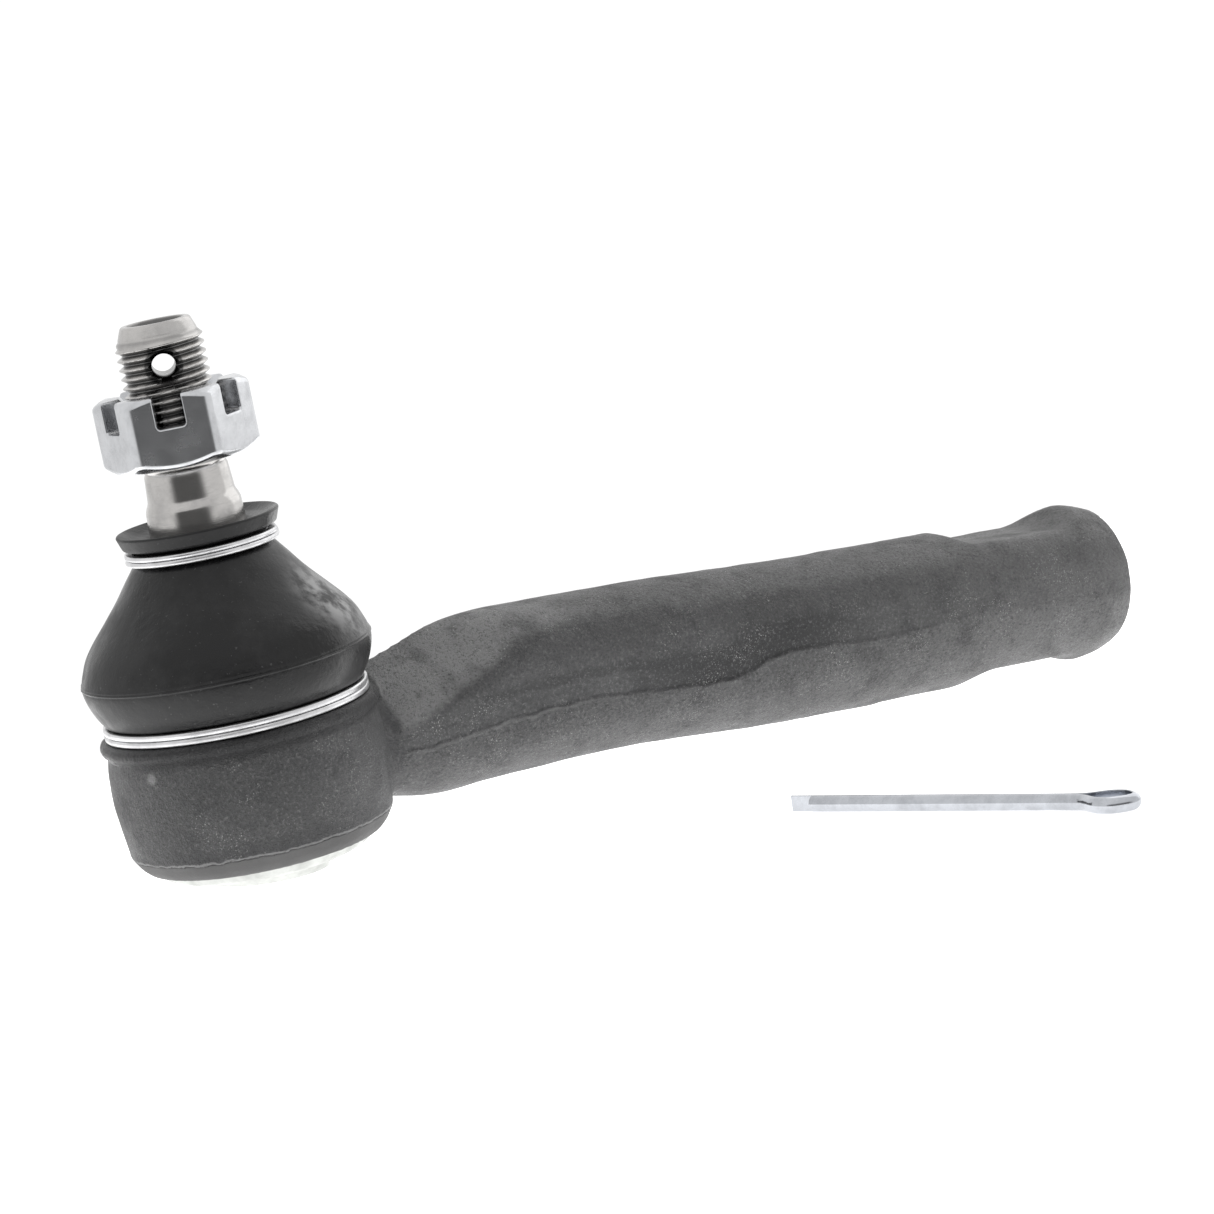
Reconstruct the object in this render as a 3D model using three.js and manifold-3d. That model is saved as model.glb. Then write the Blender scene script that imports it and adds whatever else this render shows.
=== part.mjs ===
// Steering tie rod end: a forged housing and arm, a ball stud held in two plastic seats under a
// pressed closing plug, a rubber dust boot with its two wound clips, a castle nut and a split pin.
// Millimetres. The stud stands along +Z and the arm runs out along +X. The origin is the centre of
// the closing plug's flat bottom face, on the stud's axis.

import * as THREE from 'three';
import { mergeVertices } from 'three/addons/utils/BufferGeometryUtils.js';
import Module from 'manifold-3d';

const wasm = await Module();
wasm.setup();

// ---- Driving dimensions ----

const RUNNING_GAP = 0.3;

// Ball joint
const BALL_CENTRE_Z = 16.5;
const BALL_RADIUS = 10.0;
const SEAT_RADIUS = 13.6;
const SEAT_SPLIT = 0.4;

// Housing cup
const CUP_RADIUS = 19.0;
const CUP_BOTTOM_Z = 4.0;
const CUP_BORE_RADIUS = 13.85;
const BEAD_TOP_Z = 22.9;
const COLLAR_RADIUS = 15.8;
const COLLAR_TOP_Z = 25.0;
const PLUG_LIP_RADIUS = 15.05;
const PLUG_GROOVE_RADIUS = 15.85;
const PLUG_GROOVE_TOP_Z = 6.1;
const BEARING_TOP_Z = 18.1;
const MOUTH_RADIUS = 9.7;
const MOUTH_Z = 21.4;

// Arm: its straight axis droops from the cup, and its root bends down into the cup's side
const ARM_DROOP = THREE.MathUtils.degToRad(6.4);
const ARM_START_Z = 20.2;
const ARM_LENGTH = 149.4;
const ARM_BEND_END = 50;
const ARM_BEND = 0.0038;
const ARM_ROOT_RADIUS = 11.5;
const ARM_BODY_RADIUS = 12.1;
const ARM_END_RADIUS = 11.9;
const ARM_END_ROUND_LENGTH = 6.0;
const ARM_END_ROUND_HEIGHT = 1.1;
const ARM_END_CHAMFER = 0.9;
const ROD_BORE_RADIUS = 6.35;
const ROD_BORE_DEPTH = 48;
const ROD_BORE_CHAMFER = 0.9;
const FLAT_HALF_WIDTH = 9.8;
const FLAT_CENTRE = 131.5;
const FLAT_HALF_LENGTH = 6.5;
const FLAT_RUN_OUT = 6.5;

// Stud
const NECK_RADIUS = 5.2;
const SHANK_RADIUS = 6.8;
const SHANK_STEP_Z = 52.4;
const SHANK_STEP_HEIGHT = 1.1;
const TAPER_TOP_RADIUS = 5.75;
const TAPER_TOP_Z = 57.0;
const THREAD_RADIUS = 6.0;
const THREAD_PITCH = 1.25;
const THREAD_DEPTH = 0.75;
const THREAD_START_Z = 58.0;
const THREAD_END_Z = 75.0;
const PILOT_RADIUS = 5.1;
const STUD_TOP_Z = 77.5;
const PIN_HOLE_Z = 71.8;
const PIN_HOLE_RADIUS = 1.75;
const PIN_HOLE_SINK = 0.7;
const PIN_HOLE_BEARING = THREE.MathUtils.degToRad(-116);

// Castle nut
const NUT_BOTTOM_Z = 58.3;
const NUT_HEIGHT = 10.0;
const NUT_ACROSS_FLATS = 19;
const NUT_BORE_RADIUS = THREAD_RADIUS + RUNNING_GAP;
const NUT_SLOT_WIDTH = 3.9;
const NUT_SLOT_DEPTH = 4.4;
const NUT_CHAMFER_RADIUS = 9.4;

// Boot and its clips
const BOOT_SKIRT_INNER = 15.95;
const BOOT_SKIRT_OUTER = 17.2;
const BOOT_SKIRT_BOTTOM_Z = 23.1;
const BOOT_GRIP_RADIUS = 7.1;
const BOOT_GROOVE_RADIUS = 9.3;
const LOWER_CLIP = { inner: 17.35, outer: 18.35, bottom: 23.05, top: 24.65, turns: 2 };
const UPPER_CLIP = { inner: 9.45, outer: 10.6, bottom: 45.9, top: 47.25, turns: 2 };

// Split pin, lying loose on the surface that the plug and the arm's end rest on
const PIN_WIRE_RADIUS = 1.1;
const PIN_LEG_GAP = 0.12;
const PIN_LONG_LEG = 45.5;
const PIN_SHORT_LEG = 42.0;
const PIN_EYE_RADIUS = 2.1;
const PIN_EYE_LENGTH = 6.2;
const PIN_NECK_X = 71.1;
const PIN_NECK_Y = -90.3;
const PIN_BEARING = THREE.MathUtils.degToRad(111.7);
const REST_CONTACT_X = 8.4;
const REST_SLOPE = THREE.MathUtils.degToRad(3.28);

// ---- Colours and finishes ----

const FORGED = { color: 0x55565a, roughness: 0.7, metalness: 0.6 };
const ZINC = { color: 0xc9ccd0, roughness: 0.28, metalness: 0.95 };
const POLISHED = { color: 0xb9bcc0, roughness: 0.15, metalness: 1.0 };
const SPRING_STEEL = { color: 0xd0d2d4, roughness: 0.3, metalness: 0.9 };
const RUBBER = { color: 0x1d1e20, roughness: 0.45, metalness: 0.0 };
const ACETAL = { color: 0xe8e6dd, roughness: 0.5, metalness: 0.0 };

// ---- Solids ----

function toSolid(geometry) {
  const bare = geometry.index ? geometry.toNonIndexed() : geometry.clone();
  bare.deleteAttribute('normal');
  bare.deleteAttribute('uv');
  const merged = mergeVertices(bare, 1e-4);
  const index = merged.index.array;
  const triVerts = [];
  for (let i = 0; i < index.length; i += 3) {
    const [a, b, c] = [index[i], index[i + 1], index[i + 2]];
    if (a !== b && b !== c && c !== a) triVerts.push(a, b, c);
  }
  return new wasm.Manifold(new wasm.Mesh({
    numProp: 3,
    vertProperties: new Float32Array(merged.attributes.position.array),
    triVerts: new Uint32Array(triVerts),
  }));
}

function toGeometry(solid) {
  const mesh = solid.getMesh();
  const geometry = new THREE.BufferGeometry();
  geometry.setAttribute('position', new THREE.BufferAttribute(mesh.vertProperties, 3));
  geometry.setIndex(new THREE.BufferAttribute(mesh.triVerts, 1));
  geometry.computeVertexNormals();
  return geometry;
}

// A body of revolution about +Z. The profile is a list of [radius, height] points, taken
// counter-clockwise in the (radius, height) plane: up the outside, and down the inside or the axis.
function turned(profile, segments) {
  const points = profile.map(([radius, height]) => new THREE.Vector2(radius, height));
  if (profile[0][0] > 0) points.push(points[0].clone());
  return new THREE.LatheGeometry(points, segments).rotateX(Math.PI / 2);
}

// Points of an arc in the (radius, height) plane, from one angle to another in degrees.
function arc(centreRadius, centreHeight, radius, from, to, steps) {
  const points = [];
  for (let i = 0; i <= steps; i += 1) {
    const angle = THREE.MathUtils.degToRad(from + ((to - from) * i) / steps);
    points.push([centreRadius + radius * Math.cos(angle), centreHeight + radius * Math.sin(angle)]);
  }
  return points;
}

// A smooth curve through a few [radius, height] points, for a profile's rounded stretches.
function smooth(points, divisions) {
  const curve = new THREE.SplineCurve(points.map(([r, z]) => new THREE.Vector2(r, z)));
  return curve.getPoints(divisions).map((p) => [p.x, p.y]);
}

// ---- Arm placement ----

// Takes a geometry built along +X, with the cup's axis at x = 0, to the arm's drooping axis.
function placeOnArm(geometry) {
  return geometry.rotateY(ARM_DROOP).translate(0, 0, ARM_START_Z);
}

function bendRoot(geometry) {
  const position = geometry.attributes.position;
  for (let i = 0; i < position.count; i += 1) {
    const short = Math.max(ARM_BEND_END - position.getX(i), 0);
    position.setZ(i, position.getZ(i) - ARM_BEND * short * short);
  }
  return geometry;
}

function alongX(profile, segments) {
  return turned(profile, segments).rotateY(Math.PI / 2);
}

function armBlank() {
  const roundStart = ARM_LENGTH - ARM_END_CHAMFER - ARM_END_ROUND_LENGTH;
  const profile = [[0, 13]];
  for (const [s, radius] of [[13, 8.5], [17, 9.3], [22, 10.2], [27, 11.0]]) {
    profile.push([radius, s]);
  }
  for (let s = 31; s < ARM_BEND_END; s += 5) {
    profile.push([ARM_ROOT_RADIUS + 0.2 * Math.exp(-(((s - 36) / 6) ** 2)), s]);
  }
  profile.push([ARM_ROOT_RADIUS, 60], [ARM_BODY_RADIUS, 100], [ARM_BODY_RADIUS, 118]);
  profile.push([ARM_END_RADIUS, 126]);
  for (let i = 0; i <= 4; i += 1) {
    const angle = (Math.PI / 2) * (i / 4);
    const inset = ARM_END_ROUND_HEIGHT * (1 - Math.cos(angle));
    profile.push([ARM_END_RADIUS - inset, roundStart + ARM_END_ROUND_LENGTH * Math.sin(angle)]);
  }
  profile.push([ARM_END_RADIUS - ARM_END_ROUND_HEIGHT - ARM_END_CHAMFER, ARM_LENGTH], [0, ARM_LENGTH]);
  return placeOnArm(bendRoot(alongX(profile, 28)));
}

function rodBore() {
  const mouth = ROD_BORE_RADIUS + ROD_BORE_CHAMFER;
  const profile = [
    [0, ARM_LENGTH - ROD_BORE_DEPTH - ROD_BORE_RADIUS * 0.6],
    [ROD_BORE_RADIUS, ARM_LENGTH - ROD_BORE_DEPTH],
    [ROD_BORE_RADIUS, ARM_LENGTH - ROD_BORE_CHAMFER],
    [mouth, ARM_LENGTH],
    [mouth, ARM_LENGTH + 2],
    [0, ARM_LENGTH + 2],
  ];
  return placeOnArm(alongX(profile, 24));
}

// The material that a cutter takes off one side to leave a wrench flat with curved run-outs.
function flatCutter(side) {
  const shape = new THREE.Shape();
  const far = FLAT_HALF_LENGTH + FLAT_RUN_OUT;
  const rise = ARM_BODY_RADIUS + 1.5 - FLAT_HALF_WIDTH;
  shape.moveTo(-FLAT_HALF_LENGTH, 0);
  shape.lineTo(FLAT_HALF_LENGTH, 0);
  shape.quadraticCurveTo(FLAT_HALF_LENGTH + FLAT_RUN_OUT * 0.5, 0, far, rise);
  shape.lineTo(-far, rise);
  shape.quadraticCurveTo(-FLAT_HALF_LENGTH - FLAT_RUN_OUT * 0.5, 0, -FLAT_HALF_LENGTH, 0);
  const depth = 2 * ARM_BODY_RADIUS + 4;
  const cutter = new THREE.ExtrudeGeometry(shape, { depth, bevelEnabled: false, curveSegments: 4 });
  cutter.translate(0, 0, -depth / 2).rotateX(side * Math.PI / 2);
  return placeOnArm(cutter.translate(FLAT_CENTRE, 0, side * FLAT_HALF_WIDTH));
}

// ---- Housing ----

function cupBlank() {
  const profile = [
    [0, CUP_BOTTOM_Z],
    [16.0, CUP_BOTTOM_Z],
    ...smooth([[16.5, 4.15], [17.3, 5.0], [17.9, 5.95]], 3),
    ...smooth([[18.2, 6.4], [18.65, 9], [CUP_RADIUS, 13.5], [18.85, 18], [18.5, 20.3]], 8),
    ...smooth([[18.75, 20.6], [19.15, 21.4], [18.9, 22.4], [17.9, BEAD_TOP_Z]], 6),
    [COLLAR_RADIUS, BEAD_TOP_Z],
    [COLLAR_RADIUS, COLLAR_TOP_Z - 0.4],
    [COLLAR_RADIUS - 0.4, COLLAR_TOP_Z],
    [0, COLLAR_TOP_Z],
  ];
  return turned(profile, 40);
}

function cupCavity() {
  const profile = [
    [0, CUP_BOTTOM_Z - 1],
    [PLUG_LIP_RADIUS, CUP_BOTTOM_Z - 1],
    [PLUG_LIP_RADIUS, CUP_BOTTOM_Z + 0.45],
    [PLUG_GROOVE_RADIUS, CUP_BOTTOM_Z + 0.5],
    [PLUG_GROOVE_RADIUS, PLUG_GROOVE_TOP_Z],
    [CUP_BORE_RADIUS, PLUG_GROOVE_TOP_Z],
    [CUP_BORE_RADIUS, BEARING_TOP_Z],
    [MOUTH_RADIUS + 0.7, MOUTH_Z - 0.2],
    [MOUTH_RADIUS, MOUTH_Z],
    [MOUTH_RADIUS, MOUTH_Z + 0.9],
    [12.2, COLLAR_TOP_Z + 0.01],
    [12.2, COLLAR_TOP_Z + 2],
    [0, COLLAR_TOP_Z + 2],
  ];
  return turned(profile, 40);
}

// Room for the boot's skirt and its clip where the arm's root passes under them.
function bootRelief() {
  const profile = [
    [COLLAR_RADIUS, BEAD_TOP_Z],
    [18.9, BEAD_TOP_Z],
    [18.9, 25.0],
    [20.6, 27.4],
    [21.0, 32],
    [COLLAR_RADIUS, 32],
  ];
  return turned(profile, 40);
}

function housing() {
  const arm = toSolid(armBlank());
  return toSolid(cupBlank())
    .add(arm)
    .subtract(toSolid(bootRelief()))
    .subtract(toSolid(cupCavity()))
    .subtract(toSolid(rodBore()))
    .subtract(toSolid(flatCutter(1)))
    .subtract(toSolid(flatCutter(-1)));
}

// ---- Parts inside the cup ----

function endPlug() {
  return turned([
    [0, 0],
    [8.2, 0],
    ...smooth([[8.8, 0.25], [9.3, 1.2], [10.4, 2.1]], 4),
    [13.7, 2.45],
    [14.6, 3.0],
    [14.85, 3.7],
    [14.85, 4.55],
    [15.6, 4.65],
    [15.6, 5.95],
    [14.1, 5.95],
    [14.0, 4.6],
    [13.2, 3.6],
    [9.8, 3.2],
    [8.2, 2.2],
    [7.6, 1.2],
    [0, 1.2],
  ], 28);
}

function preloadSpring() {
  return turned([[12.7, 3.85], [12.7, 4.35], [6.2, 4.87], [6.2, 4.37]], 28);
}

function lowerBallSeat() {
  const socket = BALL_RADIUS + RUNNING_GAP;
  const lowest = THREE.MathUtils.radToDeg(Math.acos(3.5 / socket));
  return turned([
    [3.5, 5.05],
    [12.9, 5.05],
    [SEAT_RADIUS, 5.75],
    [SEAT_RADIUS, BALL_CENTRE_Z - SEAT_SPLIT],
    ...arc(0, BALL_CENTRE_Z, socket, -THREE.MathUtils.radToDeg(Math.asin(SEAT_SPLIT / socket)), -lowest, 7),
  ], 24);
}

function upperBallSeat() {
  const socket = BALL_RADIUS + RUNNING_GAP;
  return turned([
    [SEAT_RADIUS, BALL_CENTRE_Z + SEAT_SPLIT],
    [SEAT_RADIUS, BEARING_TOP_Z - 0.1],
    [10.35, 20.9],
    ...arc(0, BALL_CENTRE_Z, socket, 25.5, THREE.MathUtils.radToDeg(Math.asin(SEAT_SPLIT / socket)), 5),
  ], 24);
}

// ---- Ball stud ----

// The thread is a row of V grooves at the thread's pitch and depth.
function threadProfile() {
  const root = THREAD_RADIUS - THREAD_DEPTH;
  const crestHalf = THREAD_PITCH * 0.06;
  const turns = Math.floor((THREAD_END_Z - THREAD_START_Z) / THREAD_PITCH);
  const profile = [];
  for (let i = 0; i < turns; i += 1) {
    const crest = THREAD_START_Z + THREAD_PITCH * (i + 0.5);
    profile.push([root, crest - THREAD_PITCH / 2], [THREAD_RADIUS, crest - crestHalf]);
    profile.push([THREAD_RADIUS, crest + crestHalf]);
  }
  profile.push([root, THREAD_START_Z + THREAD_PITCH * turns]);
  return profile;
}

function studBlank() {
  const neckAngle = THREE.MathUtils.radToDeg(Math.acos(NECK_RADIUS / BALL_RADIUS)) - 4;
  return turned([
    [0, BALL_CENTRE_Z - 9.2],
    ...arc(0, BALL_CENTRE_Z, BALL_RADIUS, -67, neckAngle, 14),
    ...smooth([[NECK_RADIUS + 0.1, 26.2], [NECK_RADIUS + 0.3, 29], [SHANK_RADIUS, 34.5]], 4),
    [SHANK_RADIUS, 46],
    [6.5, SHANK_STEP_Z],
    ...smooth([[6.35, SHANK_STEP_Z + 0.3], [5.98, SHANK_STEP_Z + SHANK_STEP_HEIGHT]], 2),
    [TAPER_TOP_RADIUS, TAPER_TOP_Z],
    [THREAD_RADIUS - THREAD_DEPTH, TAPER_TOP_Z + 0.6],
    ...threadProfile(),
    [THREAD_RADIUS - THREAD_DEPTH, THREAD_END_Z + 0.6],
    [PILOT_RADIUS + 0.3, THREAD_END_Z + 0.7],
    [PILOT_RADIUS, STUD_TOP_Z - 0.5],
    [PILOT_RADIUS - 0.5, STUD_TOP_Z],
    [1.6, STUD_TOP_Z],
    [0, STUD_TOP_Z - 1.6],
  ], 24);
}

function crossHole() {
  const half = THREAD_RADIUS + 1;
  const sunk = THREAD_RADIUS - PIN_HOLE_SINK;
  const wide = PIN_HOLE_RADIUS + (half - sunk);
  const profile = [
    [0, -half],
    [wide, -half],
    [PIN_HOLE_RADIUS, -sunk],
    [PIN_HOLE_RADIUS, sunk],
    [wide, half],
    [0, half],
  ];
  return alongX(profile, 20).rotateZ(PIN_HOLE_BEARING).translate(0, 0, PIN_HOLE_Z);
}

function ballStud() {
  return toSolid(studBlank()).subtract(toSolid(crossHole()));
}

// ---- Castle nut ----

function nutBlank() {
  const corner = NUT_ACROSS_FLATS / Math.sqrt(3);
  const shape = new THREE.Shape();
  for (let i = 0; i < 6; i += 1) {
    const angle = (Math.PI / 3) * (i + 0.5);
    const [x, y] = [corner * Math.cos(angle), corner * Math.sin(angle)];
    if (i === 0) shape.moveTo(x, y);
    else shape.lineTo(x, y);
  }
  return new THREE.ExtrudeGeometry(shape, { depth: NUT_HEIGHT, bevelEnabled: false });
}

function nutChamfer() {
  const corner = NUT_ACROSS_FLATS / Math.sqrt(3) + 0.4;
  const drop = (corner - NUT_CHAMFER_RADIUS) * 0.7;
  return turned([
    [0, 0],
    [NUT_CHAMFER_RADIUS, 0],
    [corner, drop],
    [corner, NUT_HEIGHT - drop],
    [NUT_CHAMFER_RADIUS, NUT_HEIGHT],
    [0, NUT_HEIGHT],
  ], 48);
}

function nutBore() {
  const chamfer = 0.7;
  return turned([
    [0, -1],
    [NUT_BORE_RADIUS + chamfer, -1],
    [NUT_BORE_RADIUS + chamfer, 0],
    [NUT_BORE_RADIUS, chamfer],
    [NUT_BORE_RADIUS, NUT_HEIGHT - chamfer],
    [NUT_BORE_RADIUS + chamfer, NUT_HEIGHT],
    [NUT_BORE_RADIUS + chamfer, NUT_HEIGHT + 1],
    [0, NUT_HEIGHT + 1],
  ], 32);
}

function nutSlot(index) {
  const half = NUT_SLOT_WIDTH / 2;
  const round = 0.9;
  const shape = new THREE.Shape();
  shape.moveTo(half, NUT_SLOT_DEPTH + 1);
  shape.lineTo(-half, NUT_SLOT_DEPTH + 1);
  shape.lineTo(-half, round);
  shape.quadraticCurveTo(-half, 0, -half + round, 0);
  shape.lineTo(half - round, 0);
  shape.quadraticCurveTo(half, 0, half, round);
  const slot = new THREE.ExtrudeGeometry(shape, { depth: 9, bevelEnabled: false, curveSegments: 3 });
  slot.rotateX(Math.PI / 2).rotateZ(Math.PI).translate(0, 4, NUT_HEIGHT - NUT_SLOT_DEPTH);
  return slot.rotateZ((Math.PI / 3) * (index + 0.5));
}

function castleNut() {
  let nut = toSolid(nutBlank()).intersect(toSolid(nutChamfer())).subtract(toSolid(nutBore()));
  for (let i = 0; i < 6; i += 1) nut = nut.subtract(toSolid(nutSlot(i)));
  return nut;
}

// ---- Boot and clips ----

function dustBoot() {
  const outer = smooth([
    [17.9, 25.0], [19.0, 26.8], [19.7, 28.6], [20.05, 30.2], [19.85, 31.3], [19.4, 32.6],
    [18.7, 34.2], [17.5, 35.9], [15.6, 38.1], [13.1, 41.0], [11.3, 43.4], [10.0, 45.1],
  ], 14);
  const inner = smooth([
    [8.3, 44.4], [11.4, 41.0], [14.0, 37.9], [16.0, 35.0], [17.4, 32.4], [17.9, 30.2],
    [17.5, 28.2], [16.8, 26.7],
  ], 8);
  return turned([
    [BOOT_SKIRT_OUTER, BOOT_SKIRT_BOTTOM_Z],
    [BOOT_SKIRT_OUTER, 24.75],
    ...outer,
    [BOOT_GROOVE_RADIUS, 45.7],
    [BOOT_GROOVE_RADIUS, 47.5],
    [10.6, 47.95],
    [11.3, 49.8],
    [11.0, 50.05],
    [9.2, 49.1],
    [7.7, 48.7],
    [BOOT_GRIP_RADIUS, 48.3],
    [BOOT_GRIP_RADIUS, 44.9],
    ...inner,
    [BOOT_SKIRT_INNER, 25.6],
    [BOOT_SKIRT_INNER, BOOT_SKIRT_BOTTOM_Z],
  ], 32);
}

// A clip of flat wire wound round twice: the turns lie against each other, with a fine step between.
function bootClip({ inner, outer, bottom, top, turns }) {
  const pitch = (top - bottom) / turns;
  const notch = 0.12;
  const profile = [[inner, bottom], [outer - notch, bottom]];
  for (let i = 0; i < turns; i += 1) {
    const low = bottom + pitch * i;
    profile.push([outer, low + notch], [outer, low + pitch - notch]);
    profile.push([outer - notch, low + pitch]);
  }
  profile.push([inner, top]);
  return turned(profile, 32);
}

// ---- Split pin ----

// Half-round wire with its flat side inwards: out along one leg, round the eye and back.
function splitPin() {
  const half = PIN_LEG_GAP / 2;
  const path = new THREE.CatmullRomCurve3([
    new THREE.Vector3(PIN_LONG_LEG, -half, 0),
    new THREE.Vector3(PIN_LONG_LEG * 0.5, -half, 0),
    new THREE.Vector3(2.5, -half, 0),
    new THREE.Vector3(0.6, -half - 0.25, 0),
    new THREE.Vector3(-PIN_EYE_LENGTH * 0.4, -PIN_EYE_RADIUS + 0.15, 0),
    new THREE.Vector3(-PIN_EYE_LENGTH * 0.75, -PIN_EYE_RADIUS + 0.35, 0),
    new THREE.Vector3(-PIN_EYE_LENGTH, 0, 0),
    new THREE.Vector3(-PIN_EYE_LENGTH * 0.75, PIN_EYE_RADIUS - 0.35, 0),
    new THREE.Vector3(-PIN_EYE_LENGTH * 0.4, PIN_EYE_RADIUS - 0.15, 0),
    new THREE.Vector3(0.6, half + 0.25, 0),
    new THREE.Vector3(2.5, half, 0),
    new THREE.Vector3(PIN_SHORT_LEG * 0.5, half, 0),
    new THREE.Vector3(PIN_SHORT_LEG, half, 0),
  ], false, 'centripetal');
  const section = new THREE.Shape();
  section.absarc(0, 0, PIN_WIRE_RADIUS, 0, Math.PI, false);
  section.closePath();
  return new THREE.ExtrudeGeometry(section, { steps: 44, extrudePath: path, curveSegments: 4 });
}

// ---- Assembly ----

const group = new THREE.Group();

function place(name, shape, finish) {
  const geometry = shape instanceof THREE.BufferGeometry ? shape : toGeometry(shape);
  const mesh = new THREE.Mesh(geometry, new THREE.MeshStandardMaterial(finish));
  mesh.name = name;
  group.add(mesh);
  return mesh;
}

place('housing', housing(), FORGED);
place('end_plug', endPlug(), ZINC);
place('preload_spring', preloadSpring(), SPRING_STEEL);
place('lower_ball_seat', lowerBallSeat(), ACETAL);
place('upper_ball_seat', upperBallSeat(), ACETAL);
place('ball_stud', ballStud(), POLISHED);
place('dust_boot', dustBoot(), RUBBER);
place('lower_boot_clip', bootClip(LOWER_CLIP), SPRING_STEEL);
place('upper_boot_clip', bootClip(UPPER_CLIP), SPRING_STEEL);
place('castle_nut', castleNut(), ZINC).position.z = NUT_BOTTOM_Z;

const pin = place('cotter_pin', splitPin(), ZINC);
const restHeight = -Math.tan(REST_SLOPE) * (PIN_NECK_X - REST_CONTACT_X);
pin.position.set(PIN_NECK_X, PIN_NECK_Y, restHeight + PIN_WIRE_RADIUS);
pin.rotation.set(0, REST_SLOPE, PIN_BEARING, 'YZX');

export default group;
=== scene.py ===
"""The looks of a steering tie rod end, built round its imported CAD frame.

Shapes are worked out here in millimetres, in the CAD frame, and become metres when a mesh is made.
"""

import math

import bpy
import numpy as np
from mathutils import Matrix, Vector


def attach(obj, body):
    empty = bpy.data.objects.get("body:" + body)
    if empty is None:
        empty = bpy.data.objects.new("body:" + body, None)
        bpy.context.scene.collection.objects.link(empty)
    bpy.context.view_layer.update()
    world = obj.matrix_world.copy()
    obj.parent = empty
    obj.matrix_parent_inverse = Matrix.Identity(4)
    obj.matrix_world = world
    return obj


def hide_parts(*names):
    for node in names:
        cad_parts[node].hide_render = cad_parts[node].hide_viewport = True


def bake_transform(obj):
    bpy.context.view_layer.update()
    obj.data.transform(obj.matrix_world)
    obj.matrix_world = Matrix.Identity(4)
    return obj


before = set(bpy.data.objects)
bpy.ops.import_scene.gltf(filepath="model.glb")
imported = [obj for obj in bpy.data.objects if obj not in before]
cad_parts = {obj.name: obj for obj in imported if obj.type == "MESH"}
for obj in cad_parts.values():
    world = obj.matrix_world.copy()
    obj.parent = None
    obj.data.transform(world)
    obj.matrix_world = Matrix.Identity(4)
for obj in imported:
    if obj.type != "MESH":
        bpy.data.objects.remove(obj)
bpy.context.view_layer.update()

MM = 0.001

# ---- Dimensions, in millimetres ----
# They are the CAD source's, but for a smaller pin hole and flats that sit a little lower.

CUP_BOTTOM_Z = 4.0
CUP_SIDE_X = 17.0
BEAD_TOP_Z = 22.9
COLLAR_RADIUS = 15.8
COLLAR_TOP_Z = 25.0
CRIMP_TOP_Z = 6.1

ARM_DROOP = math.radians(6.4)
ARM_START_Z = 20.2
ARM_LENGTH = 149.4
ARM_INNER_END = 5.0
ROD_BORE_RADIUS = 6.35
ROD_BORE_DEPTH = 48.0
ROD_THREAD_PITCH = 1.5
ROD_THREAD_DEPTH = 0.6
FLAT_HALF_WIDTH = 9.8
FLAT_CENTRE = 131.5
FLAT_HALF_LENGTH = 6.5
FLAT_RUN_OUT = 6.5
FLAT_SINK = 0.27

BALL_CENTRE_Z = 16.5
BALL_RADIUS = 10.0
SEAT_RADIUS = 10.3
SHANK_STEP_Z = 52.4
THREAD_RADIUS = 6.0
THREAD_PITCH = 1.25
THREAD_DEPTH = 0.75
THREAD_START_Z = 58.0
THREAD_END_Z = 75.0
STUD_TOP_Z = 77.5
PIN_HOLE_Z = 71.8
PIN_HOLE_RADIUS = 1.62
PIN_HOLE_BEARING = math.radians(-116)
PIN_HOLE_SINK = 1.0
PIN_HOLE_SINK_SLOPE = 0.85

NUT_BOTTOM_Z = 58.3
NUT_HEIGHT = 10.0
NUT_HALF_FLATS = 9.5
NUT_BORE_RADIUS = 6.12
NUT_THREAD_DEPTH = 0.5
NUT_SLOT_HALF = 1.95
NUT_SLOT_DEPTH = 4.4
NUT_CHAMFER_RADIUS = 9.4
NUT_LOWER_CHAMFER = 0.35
NUT_CHAMFER_SLOPE = 0.62
NUT_CORNER_ROUNDING = 0.85
NUT_COUNTERSINK_DEPTH = 1.1
NUT_COUNTERSINK_SLOPE = 0.8

BOOT_PARTING_Z = 30.65
BOOT_SPLIT_Z = 35.3
BOOT_SKIRT_Z = 25.0

# Each clip's radii, heights and the bearing of its ends
LOWER_CLIP = (17.35, 18.35, 22.95, 24.8, math.radians(64))
UPPER_CLIP = (9.45, 10.6, 45.8, 47.4, math.radians(-20))

PIN_WIRE_RADIUS = 1.1
PIN_LEG_GAP = 0.12
PIN_LONG_LEG = 45.5
PIN_SHORT_LEG = 42.0
PIN_EYE_RADIUS = 2.1
PIN_EYE_LENGTH = 6.2
PIN_NECK = (71.1, -90.3)
PIN_BEARING = math.radians(111.7)
REST_CONTACT_X = 8.4
REST_SLOPE = math.radians(3.28)

# How fine the worked-out surfaces are
FORGING_STEP = 0.45
NUT_STEP = 0.13


# ---- Curves and profiles ----

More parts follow.
